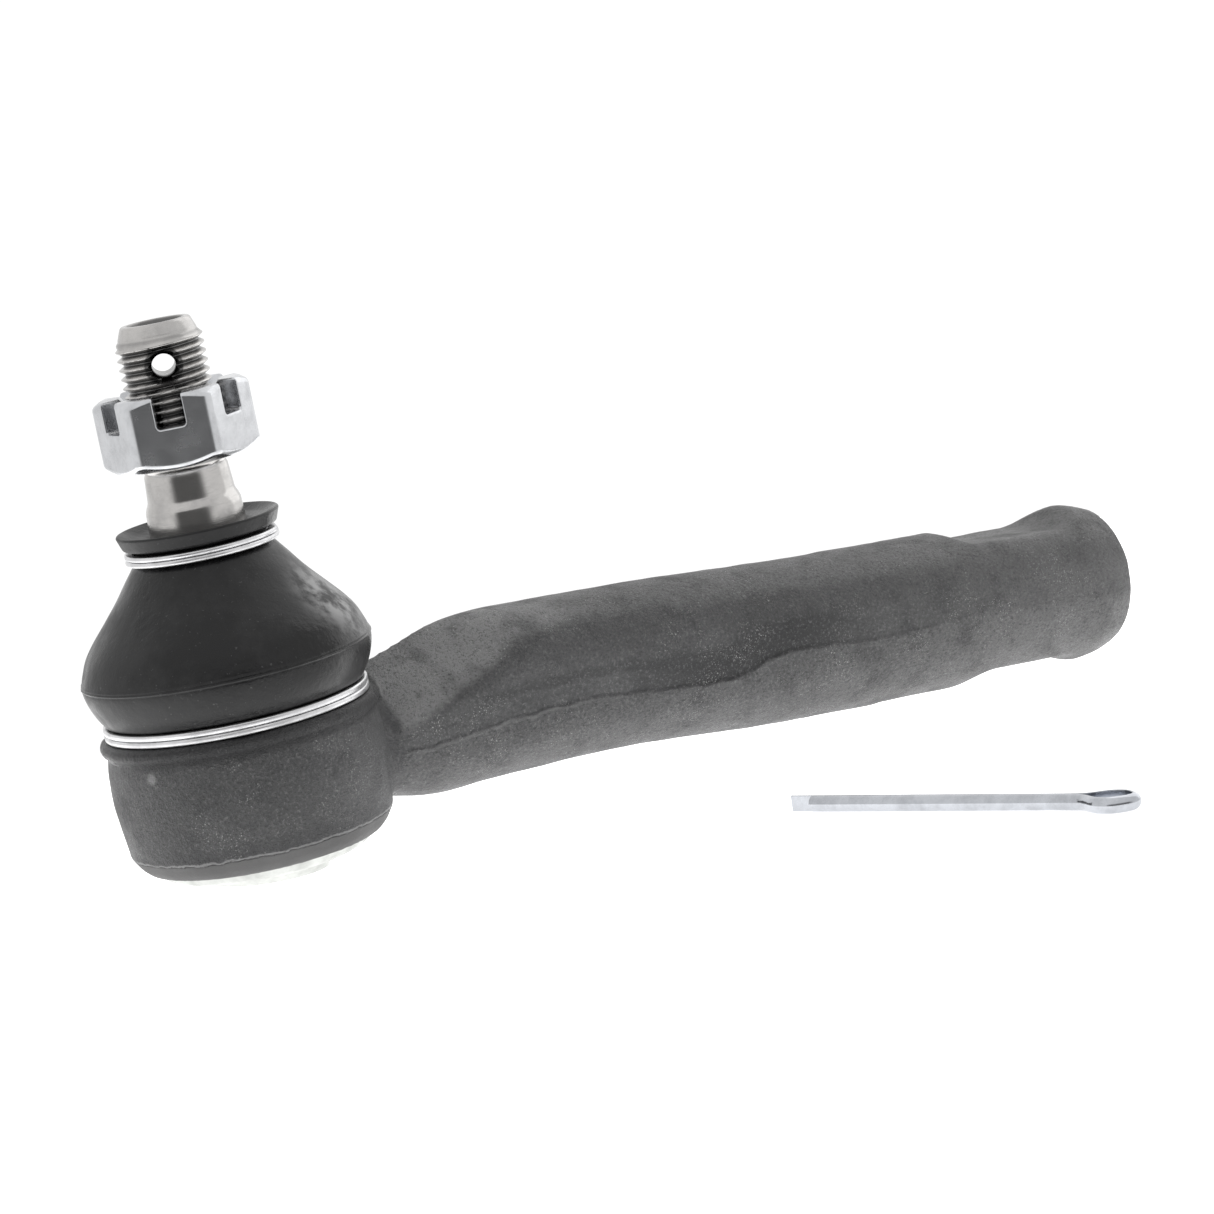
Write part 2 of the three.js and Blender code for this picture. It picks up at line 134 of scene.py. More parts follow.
def spline(points, count, evenness=0.0):
    """Catmull-Rom curve through points; evenness 0.5 spaces its knots by chord, against overshoot."""
    points = np.array(points, float)
    points = np.vstack([2 * points[0] - points[1], points, 2 * points[-1] - points[-2]])
    gaps = np.linalg.norm(np.diff(points, axis=0), axis=1) ** evenness
    knots = np.concatenate([[0], np.cumsum(gaps)])
    made = []
    for t in np.linspace(knots[1], knots[-2], count):
        i = min(max(int(np.searchsorted(knots, t, "right")) - 1, 1), len(points) - 3)
        p, k = points[i - 1:i + 3], knots[i - 1:i + 3]
        first = [p[j] + (p[j + 1] - p[j]) * (t - k[j]) / (k[j + 1] - k[j]) for j in range(3)]
        second = [first[j] + (first[j + 1] - first[j]) * (t - k[j]) / (k[j + 2] - k[j])
                  for j in range(2)]
        made.append(second[0] + (second[1] - second[0]) * (t - k[1]) / (k[2] - k[1]))
    return [tuple(p) for p in made]


def arc(radius, centre_z, start, end, count):
    """Profile points on an arc centred on the axis, from one angle to another in degrees."""
    angles = np.radians(np.linspace(start, end, count))
    return [(radius * math.cos(a), centre_z + radius * math.sin(a)) for a in angles]


def soften(profile, radius, closed=False):
    """The profile with each corner that turns more than 25 degrees rounded off."""
    points = np.array(profile, float)
    count = len(points)
    made = []
    for i in range(count):
        if not closed and i in (0, count - 1):
            made.append(points[i])
            continue
        before, here, after = points[i - 1], points[i], points[(i + 1) % count]
        back, on = before - here, after - here
        straight = -back @ on / np.linalg.norm(back) / np.linalg.norm(on)
        turn = math.degrees(math.acos(np.clip(straight, -1, 1)))
        if turn < 25:
            made.append(here)
            continue
        cut = min(radius, 0.45 * np.linalg.norm(back), 0.45 * np.linalg.norm(on))
        start = here + back / np.linalg.norm(back) * cut
        end = here + on / np.linalg.norm(on) * cut
        for t in np.linspace(0, 1, 5):
            made.append((1 - t) ** 2 * start + 2 * t * (1 - t) * here + t * t * end)
    return [tuple(p) for p in made]


def dense(profile, step, closed=False):
    """The profile with points added, so that no stretch is longer than step."""
    points = list(profile) + ([profile[0]] if closed else [])
    made = [points[0]]
    for (r0, z0), (r1, z1) in zip(points, points[1:]):
        parts = max(1, math.ceil(math.hypot(r1 - r0, z1 - z0) / step))
        made += [(r0 + (r1 - r0) * k / parts, z0 + (z1 - z0) * k / parts)
                 for k in range(1, parts + 1)]
    return made[:-1] if closed else made


def smooth_step(value):
    value = np.clip(value, 0, 1)
    return value * value * (3 - 2 * value)


def lattice_noise(points, size, seed):
    """Smooth noise from -1 to 1 whose features are about size millimetres."""
    table = np.random.RandomState(seed).rand(16, 16, 16) * 2 - 1
    place = points / size + 40
    corner = np.floor(place).astype(int)
    share = smooth_step(place - corner)
    total = np.zeros(len(points))
    for i in (0, 1):
        for j in (0, 1):
            for k in (0, 1):
                weight = np.abs(np.array([1 - i, 1 - j, 1 - k]) - share).prod(axis=1)
                at = (corner + (i, j, k)) % 16
                total += weight * table[at[:, 0], at[:, 1], at[:, 2]]
    return total


# ---- Meshes ----

def make_mesh(name, points, *faces):
    """A Blender mesh from points in millimetres and arrays of faces, its normals pointing out."""
    mesh = bpy.data.meshes.new(name)
    loops = np.concatenate([f.ravel() for f in faces]).astype(np.int32)
    sizes = np.concatenate([np.full(len(f), f.shape[1]) for f in faces])
    starts = np.concatenate([[0], np.cumsum(sizes)[:-1]]).astype(np.int32)
    mesh.vertices.add(len(points))
    mesh.vertices.foreach_set("co", (np.asarray(points) * MM).astype(np.float32).ravel())
    mesh.loops.add(len(loops))
    mesh.loops.foreach_set("vertex_index", loops)
    mesh.polygons.add(len(sizes))
    mesh.polygons.foreach_set("loop_start", starts)
    mesh.update(calc_edges=True)
    mesh.validate()
    return mesh


def add_piece(name, mesh, material, smooth_angle=38):
    """An object of the mesh with one material, smooth but for edges sharper than smooth_angle."""
    piece = bpy.data.objects.new(name, mesh)
    bpy.context.scene.collection.objects.link(piece)
    mesh.materials.clear()
    mesh.materials.append(material)
    mesh.polygons.foreach_set("use_smooth", np.ones(len(mesh.polygons), bool))
    mesh.set_sharp_from_angle(angle=math.radians(smooth_angle))
    return piece


def turned(profile, segments, change=None):
    """Points and faces of a body turned about Z. The profile goes counter-clockwise in the
    (radius, height) plane, from axis to axis or closed on itself; change may move the points."""
    rows = [i for i, (r, _) in enumerate(profile) if r > 1e-6]
    angles = np.linspace(0, 2 * math.pi, segments, endpoint=False)
    ring = np.stack([np.cos(angles), np.sin(angles)], 1)
    points = [np.column_stack([ring * profile[i][0], np.full(segments, profile[i][1])]) for i in rows]
    points = np.vstack(points)
    if change is not None:
        points = change(points)
    closed = len(rows) == len(profile)
    pairs = len(rows) if closed else len(rows) - 1
    j = np.arange(segments)
    around = (j + 1) % segments
    quads = []
    for i in range(pairs):
        low, high = i * segments, ((i + 1) % len(rows)) * segments
        quads.append(np.column_stack([low + j, low + around, high + around, high + j]))
    faces = [np.vstack(quads)]
    if not closed:
        count = len(points)
        last = (len(rows) - 1) * segments
        poles = [(0, 0, profile[0][1]), (0, 0, profile[-1][1])]
        points = np.vstack([points, poles])
        faces.append(np.column_stack([around, j, np.full(segments, count)]))
        faces.append(np.column_stack([last + j, last + around, np.full(segments, count + 1)]))
    return (points, *faces)


def swept(path, outward, section):
    """Points and faces of a section carried along a path, with flat ends. The section's first
    number goes along outward, which is given at each point of the path, and its second along Z."""
    path, outward, section = np.array(path), np.array(outward), np.array(section)
    count, sides = len(path), len(section)
    rings = path[:, None] + section[None, :, :1] * outward[:, None] + section[None, :, 1:] * (0, 0, 1)
    points = rings.reshape(-1, 3)
    j = np.arange(sides)
    around = (j + 1) % sides
    quads = np.vstack([
        np.column_stack([i * sides + j, i * sides + around, (i + 1) * sides + around, (i + 1) * sides + j])
        for i in range(count - 1)
    ])
    ends = rings[[0, -1]].mean(axis=1)
    last = (count - 1) * sides
    caps = np.vstack([
        np.column_stack([around, j, np.full(sides, len(points))]),
        np.column_stack([last + j, last + around, np.full(sides, len(points) + 1)]),
    ])
    return facing_out(np.vstack([points, ends]), quads, caps)


def facing_out(points, *faces):
    """The same body, its faces turned round if they point in."""
    volume = 0.0
    for f in faces:
        a = points[f[:, 0]]
        for k in range(1, f.shape[1] - 1):
            volume += np.einsum("ij,ij->", a, np.cross(points[f[:, k]], points[f[:, k + 1]]))
    return (points, *(faces if volume > 0 else [f[:, ::-1] for f in faces]))


def surface(distance, low, high, step):
    """Points and faces of the closed surface where distance, a function of points, is zero."""
    axes = [np.arange(a, b + step, step) for a, b in zip(low, high)]
    shape = [len(a) for a in axes]
    grid = np.empty(shape)
    for i, x in enumerate(axes[0]):
        y, z = np.meshgrid(axes[1], axes[2], indexing="ij")
        layer = np.column_stack([np.full(y.size, x), y.ravel(), z.ravel()])
        grid[i] = distance(layer).reshape(shape[1:])
    inside = grid < 0
    cells = tuple(n - 1 for n in shape)
    total, crossings = np.zeros(cells + (3,)), np.zeros(cells)
    for axis in range(3):
        others = [a for a in range(3) if a != axis]
        for offset in ((0, 0), (0, 1), (1, 0), (1, 1)):
            start = [0, 0, 0]
            start[others[0]], start[others[1]] = offset
            first = tuple(slice(s, s + c) for s, c in zip(start, cells))
            start[axis] = 1
            second = tuple(slice(s, s + c) for s, c in zip(start, cells))
            crossed = inside[first] != inside[second]
            a, b = grid[first][crossed], grid[second][crossed]
            place = np.zeros((len(a), 3))
            place[:, others[0]], place[:, others[1]] = offset
            place[:, axis] = a / (a - b)
            total[crossed] += place
            crossings[crossed] += 1
    active = crossings > 0
    index = np.full(cells, -1)
    index[active] = np.arange(active.sum())
    origin = np.array([a[0] for a in axes])
    points = origin + step * (np.argwhere(active) + total[active] / crossings[active][:, None])
    quads = []
    for axis in range(3):
        others = [a for a in range(3) if a != axis]
        span = [slice(0, None)] * 3
        span[axis] = slice(0, -1)
        ahead = [slice(0, None)] * 3
        ahead[axis] = slice(1, None)
        edges = np.argwhere(inside[tuple(span)] != inside[tuple(ahead)])
        away = ~inside[tuple(span)][tuple(edges.T)]
        corners = []
        for du, dv in ((0, 0), (1, 0), (1, 1), (0, 1)):
            cell = edges.copy()
            cell[:, others[0]] -= du
            cell[:, others[1]] -= dv
            corners.append(index[tuple(cell.T)])
        quad = np.column_stack(corners)
        turn = away if axis != 1 else ~away
        quad[turn] = quad[turn][:, ::-1]
        quads.append(quad)
    for _ in range(2):
        points = onto(distance, points, step)
    return facing_out(points, np.vstack(quads))


def onto(distance, points, step):
    """The points moved to where distance is zero."""
    value, slope = distance(points), np.zeros_like(points)
    reach = 0.1 * step
    for axis in range(3):
        shift = np.zeros(3)
        shift[axis] = reach
        slope[:, axis] = (distance(points + shift) - distance(points - shift)) / (2 * reach)
    steepness = np.maximum((slope ** 2).sum(axis=1), 0.25)
    move = np.clip(value / steepness, -0.6 * step, 0.6 * step)
    return points - slope * move[:, None]


def cut(mesh, *cutters):
    """The mesh with each cutter, points and faces as turned gives them, taken away from it."""
    body = bpy.data.objects.new("body", mesh)
    bpy.context.scene.collection.objects.link(body)
    tools = []
    for cutter in cutters:
        tool = bpy.data.objects.new("cutter", make_mesh("cutter", *cutter))
        bpy.context.scene.collection.objects.link(tool)
        modifier = body.modifiers.new("cut", "BOOLEAN")
        modifier.object, modifier.operation, modifier.solver = tool, "DIFFERENCE", "MANIFOLD"
        tools.append(tool)
    bpy.context.view_layer.update()
    made = bpy.data.meshes.new_from_object(body.evaluated_get(bpy.context.evaluated_depsgraph_get()))
    for used in [body, *tools]:
        bpy.data.objects.remove(used)
    return made


# ---- Threads ----

def thread_shape(phase):
    """How deep a rounded V thread is at a phase of its turn: 0 on the crest and 1 at the root."""
    from_crest = np.abs((phase + 0.5) % 1.0 - 0.5) * 2
    return smooth_step((from_crest - 0.1) / 0.8) * 0.35 + np.clip((from_crest - 0.1) / 0.8, 0, 1) * 0.65


def threaded(points, pitch, depth, start, end):
    """The turned points with a helical thread of that depth between two heights."""
    x, y, z = points.T
    radius = np.hypot(x, y)
    fade = smooth_step((z - start) / pitch) * smooth_step((end - z) / pitch)
    groove = depth * fade * thread_shape(z / pitch - np.arctan2(y, x) / (2 * math.pi))
    groove = np.where(radius > THREAD_RADIUS * 0.9, groove, 0)
    scale = (radius - groove) / np.maximum(radius, 1e-6)
    return np.column_stack([x * scale, y * scale, z])


# ---- Rounded joins of distances ----

def round_max(a, b, radius):
    """The part inside both, with a rounded edge."""
    both = np.hypot(np.maximum(a + radius, 0), np.maximum(b + radius, 0))
    return np.minimum(np.maximum(a, b), -radius) + both


def round_min(a, b, radius):
    """The part inside either, with a fillet between them."""
    return -round_max(-a, -b, radius)


# ---- Materials ----

def add_node(tree, kind, inputs=None, **settings):
    """A shader node whose inputs are set to a value, or linked where the value is a socket."""
    made = tree.nodes.new("ShaderNode" + kind)
    for key, value in settings.items():
        setattr(made, key, value)
    for key, value in (inputs or {}).items():
        if isinstance(value, bpy.types.NodeSocket):
            tree.links.new(value, made.inputs[key])
        else:
            made.inputs[key].default_value = value
    return made


def new_material(name, **values):
    """A material with a Principled shader, and the constants that it holds."""
    material = bpy.data.materials.new(name)
    material.use_nodes = True
    tree = material.node_tree
    tree.nodes.clear()
    shader = add_node(tree, "BsdfPrincipled")
    for key, value in values.items():
        shader.inputs[key.replace("_", " ").title().replace("Ior", "IOR")].default_value = value
    add_node(tree, "OutputMaterial", {"Surface": shader.outputs[0]})
    return material, tree, shader


def object_place(tree):
    """A point's place in the object's own space, in metres."""
    return add_node(tree, "TexCoord").outputs["Object"]


def noise(tree, place, size, detail=2.0, roughness=0.5):
    """Noise whose features are about size millimetres."""
    made = add_node(tree, "TexNoise", {
        "Vector": place, "Scale": 1 / (size * MM), "Detail": detail, "Roughness": roughness,
    })
    return made.outputs[0]


def math_node(tree, operation, *values):
    made = add_node(tree, "Math", operation=operation)
    for socket, value in zip(made.inputs, values):
        if isinstance(value, bpy.types.NodeSocket):
            tree.links.new(value, socket)
        else:
            socket.default_value = value
    return made.outputs[0]


def product(tree, *factors):
    made = factors[0]
    for factor in factors[1:]:
        made = math_node(tree, "MULTIPLY", made, factor)
    return made


def ramp(tree, value, low, high, to_low=0.0, to_high=1.0):
    """The value taken smoothly from low..high to to_low..to_high."""
    made = add_node(tree, "MapRange", {
        "Value": value, "From Min": low, "From Max": high, "To Min": to_low, "To Max": to_high,
    }, interpolation_type="SMOOTHSTEP")
    return made.outputs[0]


def curve_node(tree, value, table, reach, height):
    """A line through a table's pairs in millimetres, read at a value in metres."""
    made = add_node(tree, "FloatCurve", {"Value": math_node(tree, "DIVIDE", value, reach * MM)})
    points = made.mapping.curves[0].points
    for point, (a, b) in zip(list(points), (table[0], table[-1])):
        point.location = (a / reach, b / height)
    for a, b in table[1:-1]:
        points.new(a / reach, b / height)
    made.mapping.update()
    return product(tree, made.outputs[0], height * MM)


def mixed(tree, factor, a, b):
    """Two colours mixed. A colour may be a grey number, a triple or a socket."""
    made = add_node(tree, "Mix", data_type="RGBA")
    for index, value in ((0, factor), (6, a), (7, b)):
        if isinstance(value, bpy.types.NodeSocket):
            tree.links.new(value, made.inputs[index])
        elif index == 0:
            made.inputs[index].default_value = value
        else:
            colour = (value,) * 3 if isinstance(value, float) else value
            made.inputs[index].default_value = (*colour, 1)
    return made.outputs[2]


def layered(tree, colour, layers):
    """Colours laid over a colour: each layer is its place as a factor, its strength and its colour."""
    for factor, strength, over in layers:
        colour = mixed(tree, factor if strength == 1 else product(tree, factor, strength), colour, over)
    return colour


def bumped(tree, shader, *layers):
    """Bumps laid over each other: each layer is a height socket and its depth in millimetres."""
    normal = None
    for height, depth in layers:
        inputs = {"Height": height, "Distance": depth * MM, "Strength": 1.0}
        if normal is not None:
            inputs["Normal"] = normal
        normal = add_node(tree, "Bump", inputs).outputs[0]
    tree.links.new(normal, shader.inputs["Normal"])


def stretched(tree, place, scale):
    return add_node(tree, "Mapping", {"Vector": place, "Scale": scale}).outputs[0]


def distance_to(tree, place, point):
    """How far a place is from a point given in millimetres, in metres."""
    made = add_node(tree, "VectorMath", {0: place, 1: [c * MM for c in point]}, operation="DISTANCE")
    return made.outputs["Value"]


def axis_distance(tree, place):
    """How far a point is from the stud's axis, in metres, and the point's three coordinates."""
    split = add_node(tree, "SeparateXYZ", {"Vector": place})
    x, y, z = split.outputs
    flat = add_node(tree, "CombineXYZ", {"X": x, "Y": y})
    length = add_node(tree, "VectorMath", {0: flat.outputs[0]}, operation="LENGTH")
    return length.outputs["Value"], (x, y, z)


# Knocks on the forging that show light: their place, size and strength
FORGING_KNOCKS = (((-17.7, -6.5, 19.0), 1.1, 0.5), ((38.8, -11.6, 14.1), 0.9, 0.5),
                  ((30.2, -7.9, 25.2), 0.9, 0.4))


def arm_bands(tree, place, x, y, z):
    """The places along the arm, as factors: under and over the trimmed line and its coarser top, the places
    painted lighter as painted light, painted shade on the band's step and a painted highlight along the
    trimmed line.
    """
    waver = product(tree, math_node(tree, "SUBTRACT", noise(tree, place, 3, 3), 0.5), 0.0012)
    trim = math_node(tree, "ADD", curve_node(tree, x, TRIM_LINE, 160, 20), waver)
    over = math_node(tree, "SUBTRACT", z, trim)
    aside = ramp(tree, math_node(tree, "ABSOLUTE", y), 0.004, 0.008)
    side = product(tree, aside, ramp(tree, x, 0.0185, 0.0195))
    inner_end = ramp(tree, x, 0.06, 0.04)
    band = product(tree, side, ramp(tree, over, -0.0004, 0.0004), ramp(tree, over, 0.0062, 0.0034),
                   ramp(tree, x, 0.128, 0.09, 0.25, 1))
    # Painted shade on the trimmed band where its step stands highest, from about 52 to 100 mm along
    painted_pocket_shade = product(tree, band, ramp(tree, x, 0.052, 0.07), ramp(tree, x, 0.1, 0.084))
    # A thin painted highlight 0.4 mm below the trimmed line, near the arm's root, for light caught by the
    # lip
    off_line = math_node(tree, "ABSOLUTE", math_node(tree, "ADD", over, 0.0004))
    painted_ridge_highlight = product(tree, side, ramp(tree, off_line, 0.0004, 0.0001), inner_end)
    # Below the trimmed line: coarser skin, painted lighter as painted light from the floor below
    under = product(tree, side, ramp(tree, over, 0.0001, -0.0006))
    over_crown = math_node(tree, "SUBTRACT", z, curve_node(tree, x, CROWN_LINE, 160, 30))
    # Above the top line: coarser skin, painted lighter as painted light from above; at the arm's root,
    # where the shoulder faces up, the painted light is strongest
    crown_grain_and_painted_light = product(tree, ramp(tree, over_crown, -0.0012, 0.001), ramp(tree, x, 0.0188, 0.02))
    root = product(tree, crown_grain_and_painted_light, inner_end)
    # The foot of the step at the band's top, painted dark as painted shade
    off_shelf = math_node(tree, "ABSOLUTE", math_node(tree, "SUBTRACT", over, BAND_HEIGHT * MM))
    shelf = product(tree, side, ramp(tree, off_shelf, 0.0011, 0.0003),
                    ramp(tree, x, 0.028, 0.04), ramp(tree, x, 0.1, 0.085))
    return under, crown_grain_and_painted_light, root, shelf, band, painted_pocket_shade, painted_ridge_highlight


def cup_bands(tree, place, radius, z):
    """The places on the cup, as factors: the rolled crimp, its line, the smooth band and the bead."""
    edge = math_node(tree, "ADD", z, product(tree, noise(tree, place, 2.2, 4, 0.65), 0.0011))
    near_cup = ramp(tree, radius, 0.0196, 0.0191)
    crimp = product(tree, ramp(tree, edge, 0.0071, 0.0069), near_cup)
    off_line = math_node(tree, "ABSOLUTE", math_node(tree, "SUBTRACT", edge, 0.0072))
    crimp_line = product(tree, ramp(tree, off_line, 0.00022, 0.00006), near_cup)
    smooth_band = product(tree, ramp(tree, edge, 0.0105, 0.0078), near_cup)
    bead = product(tree, ramp(tree, z, 0.0196, 0.0206), ramp(tree, radius, 0.0203, 0.0197))
    return crimp, crimp_line, smooth_band, bead


def forged_steel():
    """Phosphated forging: dark grey with a sandy grain and light flecks, a smoother and darker band where
    the flash was trimmed off along the arm, a dark bead and a rolled crimp;
    its top, underside, root shoulder and far end are painted lighter as painted light, with painted shade
    at the band's step and a painted highlight along the trimmed line."""
    material, tree, shader = new_material("forged_steel", metallic=0.3)
    place = object_place(tree)
    radius, (x, y, z) = axis_distance(tree, place)
    broad = noise(tree, place, 22, 3)
    blotch = noise(tree, place, 5, 4, 0.6)
    grain = noise(tree, place, 0.42, 4, 0.75)
    fine = noise(tree, place, 0.2, 2, 0.6)

    under, crown_grain_and_painted_light, root, shelf, band, painted_pocket_shade, painted_ridge_highlight = arm_bands(tree, place, x, y, z)
    crimp, crimp_line, smooth_band, bead = cup_bands(tree, place, radius, z)
    coarse = math_node(tree, "ADD", product(tree, math_node(tree, "MAXIMUM", under, crown_grain_and_painted_light), 0.3), 0.7)
    fleck_patch = ramp(tree, noise(tree, place, 7, 3, 0.6), 0.48, 0.62)
    fleck = product(tree, ramp(tree, fine, 0.62, 0.7), fleck_patch)

    # Each layer's place, strength and colour, from the bare skin up
    layers = [
        # Painted light: the underside, the top and most of all the shoulder at the arm's root are painted
        # lighter, and the arm's far part grows lighter as painted light from the background
        (under, 0.4, 0.13), (crown_grain_and_painted_light, 0.55, 0.18), (root, 0.6, 0.36), (ramp(tree, x, 0.08, 0.14), 0.4, 0.2),
        # Painted shade: the step at the band's top and the band's middle stretch are painted dark; the
        # band's own darker tone is its smoother trimmed finish
        (shelf, 0.7, (0.035, 0.035, 0.036)), (band, 0.3, (0.05, 0.05, 0.051)),
        (painted_pocket_shade, 0.85, (0.026, 0.026, 0.027)),
        (ramp(tree, blotch, 0.48, 0.72), 0.55, (0.05, 0.05, 0.052)),
        (product(tree, ramp(tree, grain, 0.52, 0.7), coarse), 0.6, 0.27),
        (product(tree, ramp(tree, grain, 0.49, 0.34), coarse), 0.6, (0.022, 0.022, 0.023)),
        # Painted highlight along the trimmed line's lip
        (painted_ridge_highlight, 0.35, 0.22),
        *((ramp(tree, distance_to(tree, place, mark), reach * MM, 0.35 * reach * MM), strength, 0.4)
          for mark, reach, strength in FORGING_KNOCKS),
        (fleck, 1.0, (0.5, 0.5, 0.49)), (smooth_band, 0.5, (0.05, 0.05, 0.052)),
        (crimp, 1.0, (0.085, 0.084, 0.084)), (crimp_line, 0.7, 0.28), (bead, 0.75, (0.022, 0.022, 0.023)),
    ]
    colour = mixed(tree, ramp(tree, broad, 0.3, 0.7), (0.074, 0.074, 0.075), (0.1, 0.1, 0.102))
    colour = layered(tree, colour, layers)
    tree.links.new(colour, shader.inputs["Base Color"])
    rough = ramp(tree, blotch, 0.3, 0.7, 0.4, 0.54)
    rough = math_node(tree, "SUBTRACT", rough, product(tree, bead, 0.14))
    rough = math_node(tree, "ADD", rough, product(tree, crimp, 0.15))
    tree.links.new(rough, shader.inputs["Roughness"])
    calm = product(tree, math_node(tree, "SUBTRACT", 1.0, product(tree, crimp, 0.85)),
                   math_node(tree, "SUBTRACT", 1.0, product(tree, band, 0.55)))
    bumped(tree, shader, (product(tree, noise(tree, place, 1.6, 3, 0.6), calm), 0.5),
           (product(tree, grain, calm), 0.42), (product(tree, fine, calm), 0.1))
    return material


# Places on the boot: a light dusty scuffed patch on its shoulder, also a painted highlight, and a glossier
# patch on its front painted near black as a painted dark reflection
BOOT_SCUFF_AND_HIGHLIGHT = (11.2, -11.6, 36.6)
BOOT_GLOSS_AND_REFLECTION = (4.5, -18.6, 31.6)


def boot_rubber():
    """Black rubber with a slight gloss, a bloom of dust, stippled patches, a glossier front patch painted
    near black as a painted reflection and a scuffed shoulder patch painted light, also as a painted
    highlight.
    """
    material, tree, shader = new_material("boot_rubber", metallic=0.0, specular_ior_level=0.4)
    place = object_place(tree)
    dust = noise(tree, place, 11, 5, 0.65)
    speck = noise(tree, place, 0.5, 2, 0.6)
    stipple = noise(tree, place, 0.75, 3, 0.6)
    patch = ramp(tree, noise(tree, place, 14, 2), 0.52, 0.64)
    # A glossier patch on the front whose colour is painted near black as a painted dark reflection
    gloss_and_painted_reflection = product(tree, ramp(tree, distance_to(tree, place, BOOT_GLOSS_AND_REFLECTION), 0.0078, 0.003),
                     ramp(tree, noise(tree, place, 5, 3, 0.6), 0.3, 0.55))
    # A light grey patch on the shoulder: dust, and a painted highlight where the lamp's highlight would be
    scuff_and_painted_highlight = product(tree, ramp(tree, distance_to(tree, place, BOOT_SCUFF_AND_HIGHLIGHT), 0.0088, 0.0015),
                    ramp(tree, noise(tree, place, 3, 4, 0.6), 0.35, 0.6))
    colour = layered(tree, (0.004, 0.004, 0.0045), [
        (ramp(tree, dust, 0.42, 0.68), 0.8, (0.026, 0.026, 0.0265)),
        # The front patch is painted near black as a painted dark reflection, and the shoulder patch light
        # grey, partly as a painted highlight
        (ramp(tree, speck, 0.66, 0.76), 0.6, 0.09), (gloss_and_painted_reflection, 0.9, 0.003), (scuff_and_painted_highlight, 0.85, 0.42),
    ])
    tree.links.new(colour, shader.inputs["Base Color"])
    rough = product(tree, ramp(tree, dust, 0.3, 0.68, 0.22, 0.5), ramp(tree, gloss_and_painted_reflection, 0, 1, 1, 0.45))
    tree.links.new(rough, shader.inputs["Roughness"])
    stippled = product(tree, stipple, math_node(tree, "MAXIMUM", patch, gloss_and_painted_reflection))
    bumped(tree, shader, (noise(tree, place, 2.4, 3, 0.55), 0.09), (stippled, 0.09),
           (noise(tree, place, 0.35, 2), 0.018))
    return material


def plated(name, colour, rough, grain, scratch=(1, 1, 1)):
    """Bright plated steel with a soft cloudy finish; scratch stretches its fine marks."""
    material, tree, shader = new_material(name, metallic=1.0)
    place = object_place(tree)
    cloud = noise(tree, place, 3.5, 4, 0.6)
    marks = noise(tree, stretched(tree, place, scratch), 0.4, 3, 0.6)
    dark = tuple(c * 0.8 for c in colour)
    tint = mixed(tree, ramp(tree, cloud, 0.35, 0.7), colour, dark)
    tint = mixed(tree, ramp(tree, marks, 0.55, 0.8, 0, 0.35), tint, tuple(c * 0.62 for c in colour))
    tree.links.new(tint, shader.inputs["Base Color"])
    tree.links.new(ramp(tree, cloud, 0.3, 0.7, rough * 0.8, rough * 1.25), shader.inputs["Roughness"])
    bumped(tree, shader, (noise(tree, place, 1.8, 2), grain * 0.5), (marks, grain))
    return material


def stud_steel():
    """Ground steel, with painted shade in the thread's roots, round the pin hole and in the recess of its
    top.
    """
    material, tree, shader = new_material("stud_steel", metallic=1.0)
    place = object_place(tree)
    radius, (x, y, z) = axis_distance(tree, place)
    cloud = noise(tree, place, 3.5, 4, 0.6)
    marks = noise(tree, stretched(tree, place, (0.15, 0.15, 3)), 0.4, 3, 0.6)
    cut_part = product(tree, ramp(tree, z, 0.0575, 0.058), ramp(tree, z, 0.0757, 0.0752))
    # Painted shade in the thread's roots
    root = product(tree, ramp(tree, radius, 0.0059, 0.00535), cut_part)
    # How far a point is from the pin hole's axis, for the painted shade in and round its countersink
    off_axis = add_node(tree, "VectorMath", {
        0: add_node(tree, "CombineXYZ", {"X": x, "Y": y}).outputs[0],
        1: (-math.sin(PIN_HOLE_BEARING), math.cos(PIN_HOLE_BEARING), 0),
    }, operation="DOT_PRODUCT").outputs["Value"]
    off_height = math_node(tree, "SUBTRACT", z, PIN_HOLE_Z * MM)
    off_hole = add_node(tree, "VectorMath", {
        0: add_node(tree, "CombineXYZ", {"X": off_axis, "Y": off_height}).outputs[0],
    }, operation="LENGTH").outputs["Value"]
    # Painted shade in the recess of the top
    painted_hollow_shade = product(tree, ramp(tree, radius, 0.0041, 0.0037), ramp(tree, z, 0.0745, 0.0748))
    colour = mixed(tree, ramp(tree, cloud, 0.35, 0.7), (0.6, 0.585, 0.57), (0.48, 0.47, 0.46))
    colour = layered(tree, colour, [
        # Painted shade: the thread's roots, the countersunk pin hole and the recess of the top are painted
        # dark
        (ramp(tree, marks, 0.55, 0.8), 0.4, 0.3), (root, 0.85, 0.1),
        (ramp(tree, off_hole, 0.00275, 0.00245), 0.88, 0.09), (painted_hollow_shade, 0.85, 0.08),
    ])
    tree.links.new(colour, shader.inputs["Base Color"])
    tree.links.new(ramp(tree, cloud, 0.3, 0.7, 0.15, 0.26), shader.inputs["Roughness"])
    bumped(tree, shader, (noise(tree, place, 1.8, 2), 0.01), (marks, 0.008))
    return material


def seat_plastic():
    """Natural acetal, faintly clouded."""
    material, tree, shader = new_material("seat_plastic", metallic=0.0, roughness=0.42)
    place = object_place(tree)
    cloud = noise(tree, place, 6, 3)
    colour = mixed(tree, ramp(tree, cloud, 0.3, 0.7), (0.78, 0.76, 0.7), (0.66, 0.64, 0.58))
    tree.links.new(colour, shader.inputs["Base Color"])
    bumped(tree, shader, (noise(tree, place, 0.8, 2), 0.03))
    return material


# ---- Housing ----

